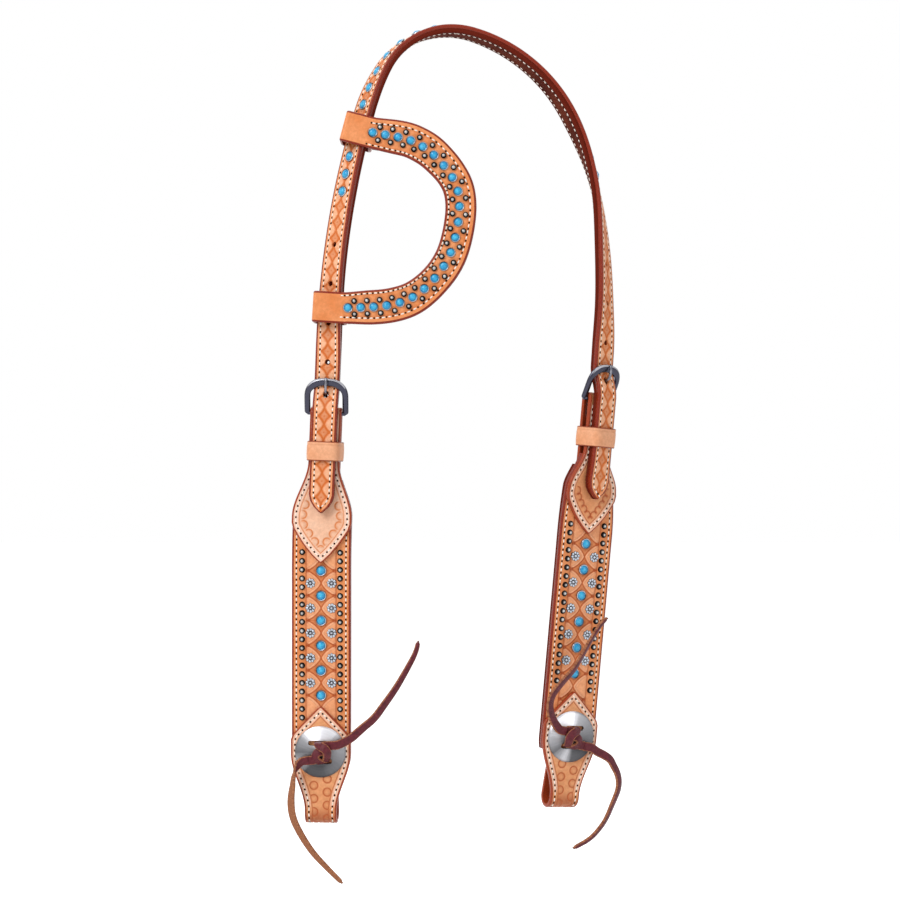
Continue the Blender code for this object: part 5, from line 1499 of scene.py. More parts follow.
def loop_wrap(at, deep, step):
    """The frames of a loop's leather, from under the band round behind the strap to its front."""
    across, own_deep = strap_reach(at)
    radius = EAR_LOOP_SLACK + EAR_LOOP_LEATHER
    turns = ((across, -own_deep, 0), (-across, -own_deep, -90), (-across, deep, -180))
    line = [(across + radius, deep, 1.0, 0.0)]
    for x, y, start in turns:
        for a in np.radians(start - 90 * np.arange(9) / 8):
            c, s = math.cos(a), math.sin(a)
            line.append((x + radius * c, y + radius * s, c, s))
    line = np.array(line)
    done = run_length(line[:, :2])
    places = np.linspace(0.0, done[-1], round(done[-1] / step))
    matrix = ear_loop_frame(at)
    across_way = -(matrix.to_3x3() @ Vector((0.0, 0.0, 1.0)))
    frames = []
    for x, y, out_x, out_y in zip(*(np.interp(places, done, column) for column in line.T)):
        out = (matrix.to_3x3() @ Vector((out_x, out_y, 0.0))).normalized()
        frames.append((matrix @ Vector((x, y, 0.0)), across_way, out, across_way.cross(out)))
    return places, frames


def ear_sheet(front, deep):
    """The ear piece as one sheet, a loop, the band and a loop, and where its band runs."""
    corners = [beside_loop(at, -strap_reach(at)[0]) for at in EAR_PLACES]
    line = ear_line(0.0)
    middle_places, middle = band_frames([corners[0]] + line + [corners[1]], FINE_STEP, front)
    (first_places, first), (last_places, last) = (
        loop_wrap(at, deep, FINE_STEP) for at in EAR_PLACES
    )
    last = [(o, -a, n, -l) for o, a, n, l in reversed(last)]
    first_end = first_places[-1]
    middle_end = first_end + middle_places[-1]
    runs = first_places[:-1], first_end + middle_places[:-1], middle_end + last_places
    sheet = sheet_of(np.concatenate(runs), first[:-1] + middle[:-1] + last)
    lead = [np.hypot(*np.subtract(line[end], corners[end])) for end in (0, -1)]
    return sheet, first_end + lead[0], middle_end - lead[1]


def arm_swell(y, low, high):
    """How much wider each half of the ear band is over its two arms than over its bow."""
    share = (y - low) / (high - low)
    beside = np.minimum(share, 1 - share)
    return ARM_SWELL * soft(beside, -0.02, 0.10) * (1 - soft(beside, 0.16, 0.36))


def ear_stud_places(low, high):
    """The stones, closer towards the band's ends, and a pair of spots between each two."""
    stones, spots = [], []
    first, last = low + EAR_STONE_ENDS[0], high - EAR_STONE_ENDS[1]
    for k, share in enumerate(np.linspace(0, 1, 2 * EAR_STUD_COUNT - 1)):
        eased_share = share - EAR_STONE_SPREAD * math.sin(math.tau * share) / math.tau
        at = first + (last - first) * eased_share
        lean = -EAR_STONE_LEAN * math.sin(math.pi * share) ** 2
        if k % 2 == 0:
            stones.append((lean, at))
        else:
            spots += [(lean + sign * EAR_SPOT_OFFSET, at) for sign in (-1, 1)]
    return stones, spots


def make_ear(looks):
    """The ear piece: a studded band whose ends wrap round the strap, and its lining."""
    deep = max(strap_reach(at)[1] for at in EAR_PLACES)
    front = deep + EAR_LOOP_SLACK + EAR_LOOP_LEATHER
    sheet, low, high = ear_sheet(front, deep)
    y = sheet["y"]
    on_band = soft(y, low, low + MM) * (1 - soft(y, high - MM, high))
    thickness = EAR_LOOP_LEATHER + (EAR_FACE_LEATHER - EAR_LOOP_LEATHER) * on_band
    stones, spots = ear_stud_places(low, high)
    tuck = soft(-y, -LOOP_WALL, 0.0) + soft(y, y[-1] - LOOP_WALL, y[-1])
    half = EAR_WIDTH / 2 + arm_swell(y, low, high) - LOOP_TUCK * tuck
    face = leather(
        "ear_piece_face", sheet, half, (0.0, -thickness), ear_tooling(low, high, stones + spots),
        looks["tooled"], (thickness * EAR_ROUND_SHARE, thickness * 0.2), 51,
    )
    declare(face, "ear_piece", "tooled_leather", "ear_face")
    back = front - EAR_FACE_LEATHER
    lining_top = EAR_LINING_LEATHER + GAP - back
    places, frames = band_frames(ear_line(EAR_LOOP_LEATHER), COARSE_STEP, 0.0)
    behind = sheet_of(places, [(o, a, -n, l) for o, a, n, l in frames])
    lining = leather(
        "ear_piece_lining", behind, lambda at: EAR_WIDTH / 2, (lining_top, GAP * 0.1 - back),
        plain, looks["lining"], FLAT_BACK, 9,
    )
    declare(lining, "ear_piece", "lining_leather", "ear_lining")
    studs = Studs(sheet, 0.0, EAR_STONE, EAR_SPOT_DIAMETER)
    for u, at in stones:
        studs.stone(u, at)
    for u, at in spots:
        studs.spot(u, at)
    studs.finish("ear_piece_studs", "ear_piece", looks)
    rows = []
    run = np.arange(low - EAR_STITCH_LEAD, high, MM)
    for sign, inset in zip((1, -1), EAR_STITCH):
        reach = EAR_WIDTH / 2 - inset + arm_swell(run, low, high)
        rows.append((sheet, list(zip(sign * reach, run)), -GROOVE * 0.5))
    for u in (EAR_WIDTH / 2 - EAR_STITCH[0], EAR_STITCH[0] - EAR_WIDTH / 2):
        line = [(u, at) for at in np.arange(MM, places[-1] - MM, MM)]
        rows.append((behind, line, lining_top))
    make_seams("ear_piece_stitching", "ear_piece", looks, rows)


# Metalwork


def swept_bar(points, section, material, name, matrix, edge_of, widen):
    """A bar of one cross-section along a line in the plane of x and y, with round ends."""
    verts, edge = [], []
    line = np.array(points, float)
    radius = max(a for a, b in section)
    for end, inner in ((0, 1), (-1, -2)):
        way = (line[inner] - line[end]) / np.linalg.norm(line[inner] - line[end])
        turns = [line[end] + way * radius * t for t in BAR_END_STEPS]
        line = np.concatenate([turns, line[1:]] if end == 0 else [line[:-1], turns[::-1]])
    beside = np.minimum(*(np.linalg.norm(line - line[end], axis=1) for end in (0, -1))) / radius
    shrink = np.sqrt(np.maximum(0.04, 1 - (1 - np.minimum(beside, 1.0)) ** 2))
    ways = unit_rows(np.diff(line, axis=0))
    for k, ((x, y), share) in enumerate(zip(line, shrink)):
        before, after = ways[max(k - 1, 0)], ways[min(k, len(ways) - 1)]
        along = (before + after) / np.linalg.norm(before + after)
        reach = share / along.dot(after)
        for a, b in section:
            wide = a * (1 + widen(y) * (a < 0)) * reach
            verts.append((x + along[1] * wide, y - along[0] * wide, b * (0.5 + 0.5 * share)))
            edge.append(edge_of(a, b, y))
    faces = tube_faces(len(line), len(section))
    return make_mesh(name, placed(verts, matrix), faces, {"edge": edge}, None, [material])


def squared(value, power):
    return math.copysign(abs(value) ** power, value)


def frame_path(steps):
    """The middle line of the buckle's D, from one heel end over the arch to the other."""
    half = (FRAME_INSIDE + FRAME_BAR) / 2
    start = FRAME_REACH - FRAME_ARCH
    arch = [
        (half * squared(c, FRAME_SQUARE), start + FRAME_ARCH * s**FRAME_SQUARE)
        for s, c in ((math.sin(a), math.cos(a)) for a in np.linspace(0, math.pi, steps + 1))
    ]
    heel = [(half, y) for y in np.linspace(-FRAME_HEEL_REACH, start, 8)[:-1]]
    return heel + arch + [(-x, y) for x, y in reversed(heel)]


def bevelled_section(half_w, half_t, bevel):
    """A flat bar's section with a broad outer bevel, a crisp lip and a soft back."""
    return [
        (half_w, -half_t * 0.5),
        (half_w, half_t * 0.15),
        (half_w - bevel * 0.9, half_t * 0.86),
        (half_w - bevel * 1.15, half_t),
        (bevel * 0.6 - half_w, half_t),
        (bevel * 0.2 - half_w, half_t * 0.8),
        (-half_w, half_t * 0.45),
        (-half_w, -half_t * 0.5),
        (bevel * 0.5 - half_w, -half_t),
        (half_w - bevel * 0.5, -half_t),
    ]


def make_buckle(side, looks):
    matrix = side_matrix(side, 0.0, BAR_LEVEL) @ Matrix.Rotation(frame_tilt(), 4, "X")

    def crest(y):
        return float(soft(y, FRAME_REACH - FRAME_ARCH * 0.7, FRAME_REACH - FRAME_ARCH * 0.1))

    # The outer lip along the arch's crest is painted lighter, a painted highlight
    def wear_and_shine(a, b, y):
        on_lip = b > FRAME_THICKNESS * 0.05 and a > FRAME_BAR / 2 - FRAME_BEVEL
        return crest(y) if on_lip else 0.0

    arms = swept_bar(
        frame_path(FRAME_STEPS), bevelled_section(FRAME_BAR / 2, FRAME_THICKNESS / 2, FRAME_BEVEL),
        looks["gunmetal"], side + "_buckle_arch", matrix, wear_and_shine, lambda y: CREST_WIDER * crest(y),
    )
    notch = bmesh.new()
    spot = matrix @ Matrix.Translation((0.0, FRAME_REACH, FRAME_THICKNESS / 2)) @ QUARTER_X
    shape = Matrix.Diagonal((NOTCH_WIDTH / 2, NOTCH_DEPTH, FRAME_BAR * 2, 1.0))
    add_drum(notch, spot @ shape, BAR_SIDES)
    cut_with(arms, notch)
    declare(arms, side + "_frame", "buckle_metal", side + "_buckle_frame")
    heap = Heap()
    half, d = (FRAME_INSIDE + FRAME_BAR) / 2, BAR_DIAMETER
    rows = [(0, half), (d * 0.4, half), (d / 2, half - d * 0.1)]
    rows += [(d / 2, d * 0.1 - half), (d * 0.4, -half)]
    bar = lathe([(reach, level, 0.0) for reach, level in rows], BAR_SIDES)
    heap.add(bar, matrix @ Matrix.Rotation(math.radians(90), 4, "Y"))
    item = heap.build(side + "_buckle_heel_bar", [looks["gunmetal"]])
    declare(item, side + "_frame", "buckle_metal")


def tongue_points():
    """The tongue's middle line, up the strap and out of it, from the heel bar."""
    tilt = frame_tilt()
    arch_face = FRAME_REACH * math.sin(tilt) + FRAME_THICKNESS / 2 * math.cos(tilt)
    rest = arch_face + FRAME_BAR / 2 * math.sin(tilt) - NOTCH_DEPTH * math.cos(tilt)
    rest += TONGUE_THICKNESS / 2 + GAP
    strap_mid = SIDE_LEVEL + lift_at(TONGUE_HOLE) - BAR_LEVEL
    lean = STRAP_THICKNESS * TONGUE_LEAN
    arch = FRAME_REACH * math.cos(tilt)
    points = [
        (BAR_DIAMETER / 2 + GAP + TONGUE_RING / 2, 0.0),
        (TONGUE_HOLE - lean - TONGUE_THICKNESS, 0.0),
        (TONGUE_HOLE - lean * 0.8, strap_mid - STRAP_THICKNESS * 0.75),
        (TONGUE_HOLE, strap_mid),
        (TONGUE_HOLE + lean * 0.8, strap_mid + STRAP_THICKNESS * 0.72),
        (arch - FRAME_BAR, rest),
        (arch + TONGUE_PAST_ARCH, rest),
    ]
    return np.array(smooth_line(points, 6))


def make_tongue(side, looks):
    """The tongue: a round bar with an eye round the heel bar, drawn to a blunt tip."""
    line = tongue_points()
    size, count, verts = len(line), TONGUE_SIDES, []
    thins = [1.0] * (size - len(TONGUE_TIP)) + list(TONGUE_TIP)
    for k, (x, y) in enumerate(line):
        along = line[min(k + 1, size - 1)] - line[max(k - 1, 0)]
        along /= np.linalg.norm(along)
        for a in turns_of(count):
            deep = TONGUE_THICKNESS / 2 * thins[k] * squared(math.cos(a), TONGUE_SQUARE)
            narrow = TONGUE_WIDTH / 2 * thins[k] * (1 - 0.15 * k / (size - 1))
            wide = narrow * squared(math.sin(a), TONGUE_SQUARE)
            verts.append((x - along[1] * deep, y + along[0] * deep, wide))
    faces = [face[::-1] for face in tube_faces(size, count)]
    rings, around = EYE_GRID
    faces += ring_faces(around, rings, len(verts), closed=True)
    inner, outer = BAR_DIAMETER / 2 + GAP / 2, BAR_DIAMETER / 2 + GAP + TONGUE_RING
    half = TONGUE_SLOT_WIDTH / 2 - GAP
    for a in turns_of(around):
        for b in turns_of(rings):
            reach = (inner + outer) / 2 + (outer - inner) / 2 * math.cos(b)
            aside = half * squared(math.sin(b), EYE_SQUARE)
            verts.append((reach * math.cos(a), reach * math.sin(a), aside))
    drawing = Matrix(((0, 0, 1, 0), (1, 0, 0, 0), (0, 1, 0, 0), (0, 0, 0, 1)))
    verts = placed(verts, side_matrix(side, 0.0, BAR_LEVEL) @ drawing)
    masks = {"edge": np.full(len(verts), 0.5)}
    item = make_mesh(side + "_tongue_bar", verts, faces, masks, None, [looks["gunmetal"]])
    declare(item, side + "_tongue", "buckle_metal", side + "_buckle_tongue")


def spin_layout(item, matrix):
    """Lays a round piece out as turns and reach in centimetres, so its rings and its painted
    reflection fan run round it.
    """
    mesh = item.data
    spots = np.zeros(len(mesh.vertices) * 3)
    mesh.vertices.foreach_get("co", spots)
    local = placed(spots.reshape(-1, 3), matrix.inverted())[loop_points(mesh)]
    turns = np.arctan2(local[:, 1], local[:, 0]) / math.tau
    for face in mesh.polygons:
        own = slice(face.loop_start, face.loop_start + face.loop_total)
        if len(face.vertices) < 5 and np.ptp(turns[own]) > 0.5:
            turns[own] = np.where(turns[own] < 0, turns[own] + 1, turns[own])
    layout = np.stack([turns, np.hypot(local[:, 0], local[:, 1]) * 100], 1)
    mesh.uv_layers.new(name="flat").data.foreach_set("uv", layout.astype(np.float32).ravel())


def make_concho(side, looks):
    """A spun concho: a shallow dish with a rolled rim and two slots with round ends."""
    radius = CONCHO_DIAMETER / 2
    rows = []
    for share in np.linspace(0, 1, CONCHO_GRID[0]):
        crown = CONCHO_METAL + CONCHO_RISE * (1 - share**2)
        rim = CONCHO_METAL * 0.9 * soft(share, *CONCHO_RIM)
        rows.append((radius * share, crown - rim, 0.0 if share < 0.94 else 0.35))
    rows += [(radius, CONCHO_METAL * 0.05, 1.0), (radius * 0.97, 0.0, 1.0)]
    matrix = side_matrix(side, CONCHO_PLACE, STRAP_BACK)
    heap = Heap()
    heap.add(lathe(rows, CONCHO_GRID[1]), matrix)
    item = heap.build(side + "_concho_disc", [looks["steel"]])
    spin_layout(item, matrix @ Matrix.Rotation(math.tau * REFLECTION_FAN_TURNS[side], 4, "Z"))
    half, end = (CONCHO_SLOT_LENGTH - CONCHO_SLOT_WIDTH) / 2, CONCHO_SLOT_WIDTH / 2
    turns = np.linspace(-math.pi / 2, math.pi / 2, CONCHO_SLOT_STEPS)
    outline = [(half + end * math.cos(a), end * math.sin(a)) for a in turns]
    outline += [(-x, -y) for x, y in outline]
    size = len(outline)
    for sign in (-1, 1):
        slot = bmesh.new()
        aside = -MIRROR[side] * sign * CONCHO_SLOT_ASIDE
        middle = (aside, sign * CONCHO_SLOT_SPACING / 2, CONCHO_METAL)
        spot = matrix @ Matrix.Translation(middle)
        low, high = (
            [slot.verts.new(spot @ Vector((x, y, z))) for x, y in outline]
            for z in (-CONCHO_CUT, CONCHO_CUT)
        )
        for k in range(size):
            slot.faces.new((low[k], low[(k + 1) % size], high[(k + 1) % size], high[k]))
        slot.faces.new(list(reversed(low)))
        slot.faces.new(high)
        bmesh.ops.recalc_face_normals(slot, faces=slot.faces)
        cut_with(item, slot)
    declare(item, "headstall", "brushed_steel", side + "_concho")


# Ties


def lace_section():
    """A lace's section: how far across, up, aside and how raw, from its show side round."""
    turn, wide = quarter(4)[1:-1], np.linspace(1, -1, 9)
    rows = [(t, 1.0, 0.0, 0.0) for t in wide]
    rows += [(-1.0, c, -s, 0.6) for s, c in turn] + [(-1.0, 0.0, -1.0, 1.0)]
    rows += [(-1.0, -s, -c, 1.0) for s, c in turn] + [(-t, -1.0, 0.0, 1.0) for t in wide]
    rows += [(1.0, -c, s, 1.0) for s, c in turn] + [(1.0, 0.0, 1.0, 1.0)]
    return np.array(rows + [(1.0, s, c, 0.6) for s, c in turn]).T


def lace_mesh(name, line, ups, widths, thickness, material):
    """A flat lace through the points of a line, its show side turned along the given ups."""
    points, ups = np.array(line, float), np.array(ups, float)
    ways = unit_rows(np.gradient(points, axis=0))
    outs = unit_rows(ups - ways * np.sum(ups * ways, 1)[:, None])
    half_t = thickness / 2
    corner = half_t * 0.75
    t, up, aside, flesh = lace_section()
    crown = 1 + 0.18 * (1 - t * t) * (np.abs(up) == 1.0)
    across = t * (widths[:, None] / 2 - corner)
    verts = (
        points[:, None]
        + np.cross(ways, outs)[:, None] * (across + aside * corner)[:, :, None]
        + outs[:, None] * (up * half_t * crown)[None, :, None]
    )
    flat = np.stack([across, run_length(points)[:, None] + t * 0], 2).reshape(-1, 2)
    masks = {"flesh": np.tile(flesh, len(points))}
    faces = tube_faces(len(points), len(t))
    return make_mesh(name, verts.reshape(-1, 3), faces, masks, flat, [material])


def make_tails(looks):
    """The free ends of the two ties."""
    level = STRAP_BACK + CONCHO_METAL + CONCHO_RISE + GAP + (THONG_THICKNESS + KNOT_RISE) / 2
    for name, shares in TAIL_SHARES.items():
        side = name.split("_")[0]
        mirror = MIRROR[side]
        way, height = shares[0][:2]
        points = [
            (mirror * math.copysign(KNOT_WIDTH / 2 + GAP + run, way), -height * THONG_LENGTH, 0.0)
            for run in (0.0, KNOT_EXIT_RUN / 2, KNOT_EXIT_RUN)
        ]
        for u, v, n in shares[1:]:
            points.append((mirror * u * THONG_LENGTH, -v * THONG_LENGTH, n * THONG_LENGTH))
        matrix = side_matrix(side, CONCHO_PLACE, level)
        coarse = spread(smooth_line(points, 4), THONG_POINTS)[0]
        route = [matrix @ Vector(p) for p in coarse]
        line = placed(spread(smooth_line(coarse, 6), 100)[0], matrix)
        share = np.linspace(0.0, 1.0, len(line))
        widths = THONG_WIDTH * (1 - (1 - THONG_TIP_SHARE) * share**2)
        widths = widths * (1 - 0.75 * soft(share, 0.975, 1.0))
        turns = np.radians(np.interp(share, *zip(*TAIL_ROLLS[name])))[:, None]
        out = np.array(matrix)[:3, 2]
        aside = np.cross(unit_rows(np.gradient(line, axis=0)), out)
        ups = out * np.cos(turns) + aside * np.sin(turns)
        thin = THONG_THICKNESS * 0.92
        item = lace_mesh(name + "_lace", line, ups, widths, thin, looks["lace"])
        declare(item, "headstall", "thong_leather", name)
        tuple(route[0])
        sum((b - a).length for a, b in zip(route, route[1:]))
        [tuple(p) for p in route]


def make_knot(side, looks):
    """The tie: two legs out of the slots, crossed and drawn down over one another."""
    matrix = side_matrix(side, CONCHO_PLACE, 0.0)
    face = STRAP_BACK + CONCHO_METAL + CONCHO_RISE + THONG_THICKNESS / 2
    turn = np.array([MIRROR[side], 1, 1])
    laces = []
    for name, rows in KNOT_ROWS.items():
        rows = np.array(rows)
        points = rows[:, :3] * turn * MM + (0, 0, face)
        joined = np.column_stack([points, rows[:, 3:6] * turn, rows[:, 6] * MM])
        fine = np.array(smooth_line(joined, 10))
        line = placed(fine[:, :3], matrix)
        ups = placed(fine[:, 3:6], matrix.to_3x3().to_4x4())
        thin, piece = THONG_THICKNESS * 0.9, side + "_tie_" + name
        laces.append(lace_mesh(piece, line, ups, fine[:, 6], thin, looks["lace"]))
    for k, item in enumerate(laces):
        node_names = [side + "_thong_knot"] if k == 0 else []
        declare(item, "headstall", "thong_leather", *node_names)


# Finishes


class Net:
    """A node tree with short words for what the finishes use most."""

    def __init__(self, tree):
        self.tree = tree

    def plug(self, socket, value):
        if isinstance(value, bpy.types.NodeSocket):
            self.tree.links.new(value, socket)
        elif socket.type == "RGBA":
            socket.default_value = (*value[:3], 1.0)
        else:
            socket.default_value = value

    def add(self, kind, values=None, **settings):
        made = self.tree.nodes.new("ShaderNode" + kind)
        for key, value in settings.items():
            setattr(made, key, value)
        for key, value in (values or {}).items():
            self.plug(made.inputs[key], value)
        return made

    def noise(self, vector, scale, detail=4.0, roughness=0.55):
        values = {"Vector": vector, "Scale": scale, "Detail": detail, "Roughness": roughness}
        return self.add("TexNoise", values).outputs["Fac"]

    def ramp(self, value, low, high, to_low=0.0, to_high=1.0):
        values = {0: value, 1: low, 2: high, 3: to_low, 4: to_high}
        return self.add("MapRange", values, interpolation_type="SMOOTHSTEP").outputs[0]

    def maths(self, operation, a, b=0.0):
        return self.add("Math", {0: a, 1: b}, operation=operation).outputs[0]

    def times(self, a, b):
        return self.maths("MULTIPLY", a, b)

    def plus(self, a, b):
        return self.maths("ADD", a, b)

    def swing(self, value, reach):
        """A value that goes from 0 to 1, turned to swing about 0."""
        return self.times(self.maths("SUBTRACT", value, 0.5), reach)

    def mix(self, share, a, b):
        values = {0: share, 6: a, 7: b}
        return self.add("Mix", values, data_type="RGBA", blend_type="MIX").outputs[2]

    def scaled(self, vector, scale, **more):
        return self.add("Mapping", {"Vector": vector, "Scale": scale, **more}).outputs[0]


class Look(Net):
    """A material whose shader is filled in by name."""

    def __init__(self, name):
        self.material = bpy.data.materials.new(name)
        self.material.use_nodes = True
        super().__init__(self.material.node_tree)

    def mask(self, name):
        settings = {"attribute_name": name, "attribute_type": "GEOMETRY"}
        return self.add("Attribute", **settings).outputs["Fac"]

    def layout(self):
        return self.add("UVMap", uv_map="flat").outputs[0]

    def spot(self):
        return self.add("TexCoord").outputs["Object"]

    def finish(self, values, height=None, strength=0.0, distance=0.0):
        shader = self.tree.nodes["Principled BSDF"]
        for key, value in values.items():
            self.plug(shader.inputs[key], value)
        if height:
            relief = {"Strength": strength, "Distance": distance, "Height": height}
            self.plug(shader.inputs["Normal"], self.add("Bump", relief).outputs[0])
        return self.material


def group(name, inputs, outputs):
    """A shader node group: its net, what it is given and what it gives."""
    tree = bpy.data.node_groups.new(name, "ShaderNodeTree")
    for label, kind, value in inputs:
        socket = tree.interface.new_socket(label, in_out="INPUT", socket_type="NodeSocket" + kind)
        if value is not None:
            socket.default_value = value
    for label in outputs:
        kind = "Color" if label == "Color" else "Float"
        tree.interface.new_socket(label, in_out="OUTPUT", socket_type="NodeSocket" + kind)
    given = tree.nodes.new("NodeGroupInput").outputs
    return Net(tree), given, tree.nodes.new("NodeGroupOutput").inputs


def leather_grain_group():
    """Hide grain on the flat layout: drifts of tone, fine pores and long soft creases."""
    inputs = [("Layout", "Vector", None), ("Pore size", "Float", 1.0)]
    net, given, made = group("leather_grain", inputs, ("Drift", "Mottle", "Pores", "Height"))
    layout = given["Layout"]
    net.plug(made["Drift"], net.ramp(net.noise(layout, 0.045, 3.0), 0.3, 0.72))
    net.plug(made["Mottle"], net.ramp(net.noise(layout, 0.42, 5.0, 0.65), 0.28, 0.75))
    stretched = net.scaled(layout, (2.6, 1.9, 2.0))
    cells = {"Scale": 1.15, "Vector": stretched}
    cells = net.add("TexVoronoi", cells, feature="DISTANCE_TO_EDGE")
    pores = net.ramp(cells.outputs["Distance"], 0.0, 0.12)
    net.plug(made["Pores"], pores)
    fine = net.noise(layout, 5.5, 3.0, 0.7)
    crease = net.ramp(net.noise(layout, 0.16, 4.0), 0.46, 0.5)
    total = net.plus(net.times(pores, 0.45), net.times(fine, 0.75))
    net.plug(made["Height"], net.plus(total, net.times(crease, 0.2)))
    return net.tree


def tooling_group():
    """Tooled leather's colour: dye gathers in the carved lines and in the stamped ground; the
    ground mask also brings painted shade, and below 0 lightens raised parts, partly with a painted
    highlight.
    """
    leather_tones = ("Base", "Carved colour", "Ground colour", "Raised colour", "Edge colour")
    inputs = [(label, "Color", (0.5, 0.2, 0.1, 1.0)) for label in leather_tones]
    inputs += [(label, "Float", 0.0) for label in ("Carved", "Ground", "Edge", "Mottle")]
    net, given, made = group("tooled_colour", inputs, ("Color", "Edge mask"))
    uneven = net.ramp(given["Mottle"], 0.0, 1.0, 0.62, 1.0)
    raised = net.times(net.ramp(given["Ground"], 0.0, -1.0), uneven)
    stamped = net.times(net.ramp(given["Ground"], 0.0, 1.0), uneven)
    color = net.mix(raised, given["Base"], given["Raised colour"])
    color = net.mix(stamped, color, given["Ground colour"])
    color = net.mix(given["Carved"], color, given["Carved colour"])
    edge = net.ramp(net.plus(given["Edge"], net.swing(given["Mottle"], 0.25)), 0.3, 0.75)
    net.plug(made["Color"], net.mix(edge, color, given["Edge colour"]))
    net.plug(made["Edge mask"], edge)
    return net.tree


def metal_wear_and_shine_group():
    """Metal darkened in the grooves, unevenly rough and finely scratched, with the painted
    highlight and shade that its mask carries on domes, bezels and the buckle's lip.
    """
    inputs = [("Place", "Vector", None), ("Edge", "Float", 0.0)]
    net, given, made = group("metal_wear_and_shine", inputs, ("Tarnish and shine", "Scratches", "Haze"))
    spot = given["Place"]
    tarnish_and_shine = net.plus(given["Edge"], net.swing(net.noise(spot, 260.0, 5.0, 0.65), 0.9))
    long = net.scaled(spot, (3200.0, 3200.0, 240.0), Rotation=(0.3, 0.4, 0.9))
    net.plug(made["Tarnish and shine"], net.ramp(tarnish_and_shine, 0.25, 0.85))
    net.plug(made["Scratches"], net.ramp(net.noise(long, 1.0, 2.0), 0.55, 0.78))
    net.plug(made["Haze"], net.ramp(net.noise(spot, 900.0, 3.0), 0.3, 0.7))
    return net.tree


def leather_look(groups, name, leather_tones, gloss, relief, shine=0.2):
    """Dyed and oiled leather; its tones are light, deep, raised (partly a painted highlight),
    carved, ground (also painted shade) and edge.
    """
    look = Look(name)
    light, deep, raised, carved, ground, edge = leather_tones
    grain = look.add("Group", {"Layout": look.layout()}, node_tree=groups["grain"]).outputs
    mottle = grain["Mottle"]
    base = look.mix(grain["Drift"], light, deep)
    darker = tuple(c * 0.72 for c in deep)
    base = look.mix(look.times(look.ramp(mottle, 1.0, 0.0), 0.4), base, darker)
    masks = {label: look.mask(label.lower()) for label in ("Carved", "Ground", "Edge")}
    colors = {"Carved": carved, "Ground": ground, "Raised": raised, "Edge": edge}
    colors = {label + " colour": color for label, color in colors.items()}
    values = {"Base": base, "Mottle": mottle, **masks, **colors}
    tooled = look.add("Group", values, node_tree=groups["tooling"]).outputs
    rough = look.ramp(mottle, 0.0, 1.0, gloss - 0.06, gloss + 0.08)
    values = {
        "Base Color": tooled["Color"],
        "Roughness": look.maths("SUBTRACT", rough, look.times(tooled["Edge mask"], 0.14)),
        "Specular IOR Level": shine,
        "Coat Weight": shine / 5,
        "Coat Roughness": 0.3,
    }
    return look.finish(values, grain["Height"], relief, 0.00012)


def lace_look(groups):
    """A burgundy lace whose cut flesh side and edges are brown and fibrous."""
    look = Look("lace_leather")
    layout = look.layout()
    grain = look.add("Group", {"Layout": layout}, node_tree=groups["grain"]).outputs
    streak = look.noise(look.scaled(layout, (9.0, 0.9, 1.0)), 1.0, 4.0, 0.7)
    hair = look.mix(grain["Mottle"], LACE_DARK, LACE_LIGHT)
    raw = look.mix(look.ramp(streak, 0.3, 0.7), FLESH_DARK, FLESH_LIGHT)
    side = look.ramp(look.plus(look.mask("flesh"), look.swing(streak, 0.3)), 0.35, 0.7)
    values = {
        "Base Color": look.mix(side, hair, raw),
        "Roughness": look.ramp(side, 0.0, 1.0, 0.36, 0.78),
        "Specular IOR Level": 0.2,
    }
    height = look.plus(grain["Height"], look.times(look.times(streak, side), 1.6))
    return look.finish(values, height, 0.55, 0.00015)


def wear_and_shine(look, groups):
    values = {"Place": look.spot(), "Edge": look.mask("edge")}
    return look.add("Group", values, node_tree=groups["metal"]).outputs


def metal_look(groups, name, bright, dark, rough, polish):
    """A metal with another tone where its mask says: patina in grooves, lighter patches at random,
    and painted highlight and shade on domes, bezels and the buckle's lip.
    """
    look = Look(name)
    wear = wear_and_shine(look, groups)
    amount = look.times(wear["Tarnish and shine"], polish)
    haze = look.ramp(wear["Haze"], 0.0, 1.0, rough - 0.05, rough + 0.08)
    values = {
        "Base Color": look.mix(amount, bright, dark),
        "Metallic": 1.0,
        "Roughness": look.plus(haze, look.times(amount, 0.25)),
    }
    return look.finish(values, wear["Scratches"], 0.25, 0.00004)


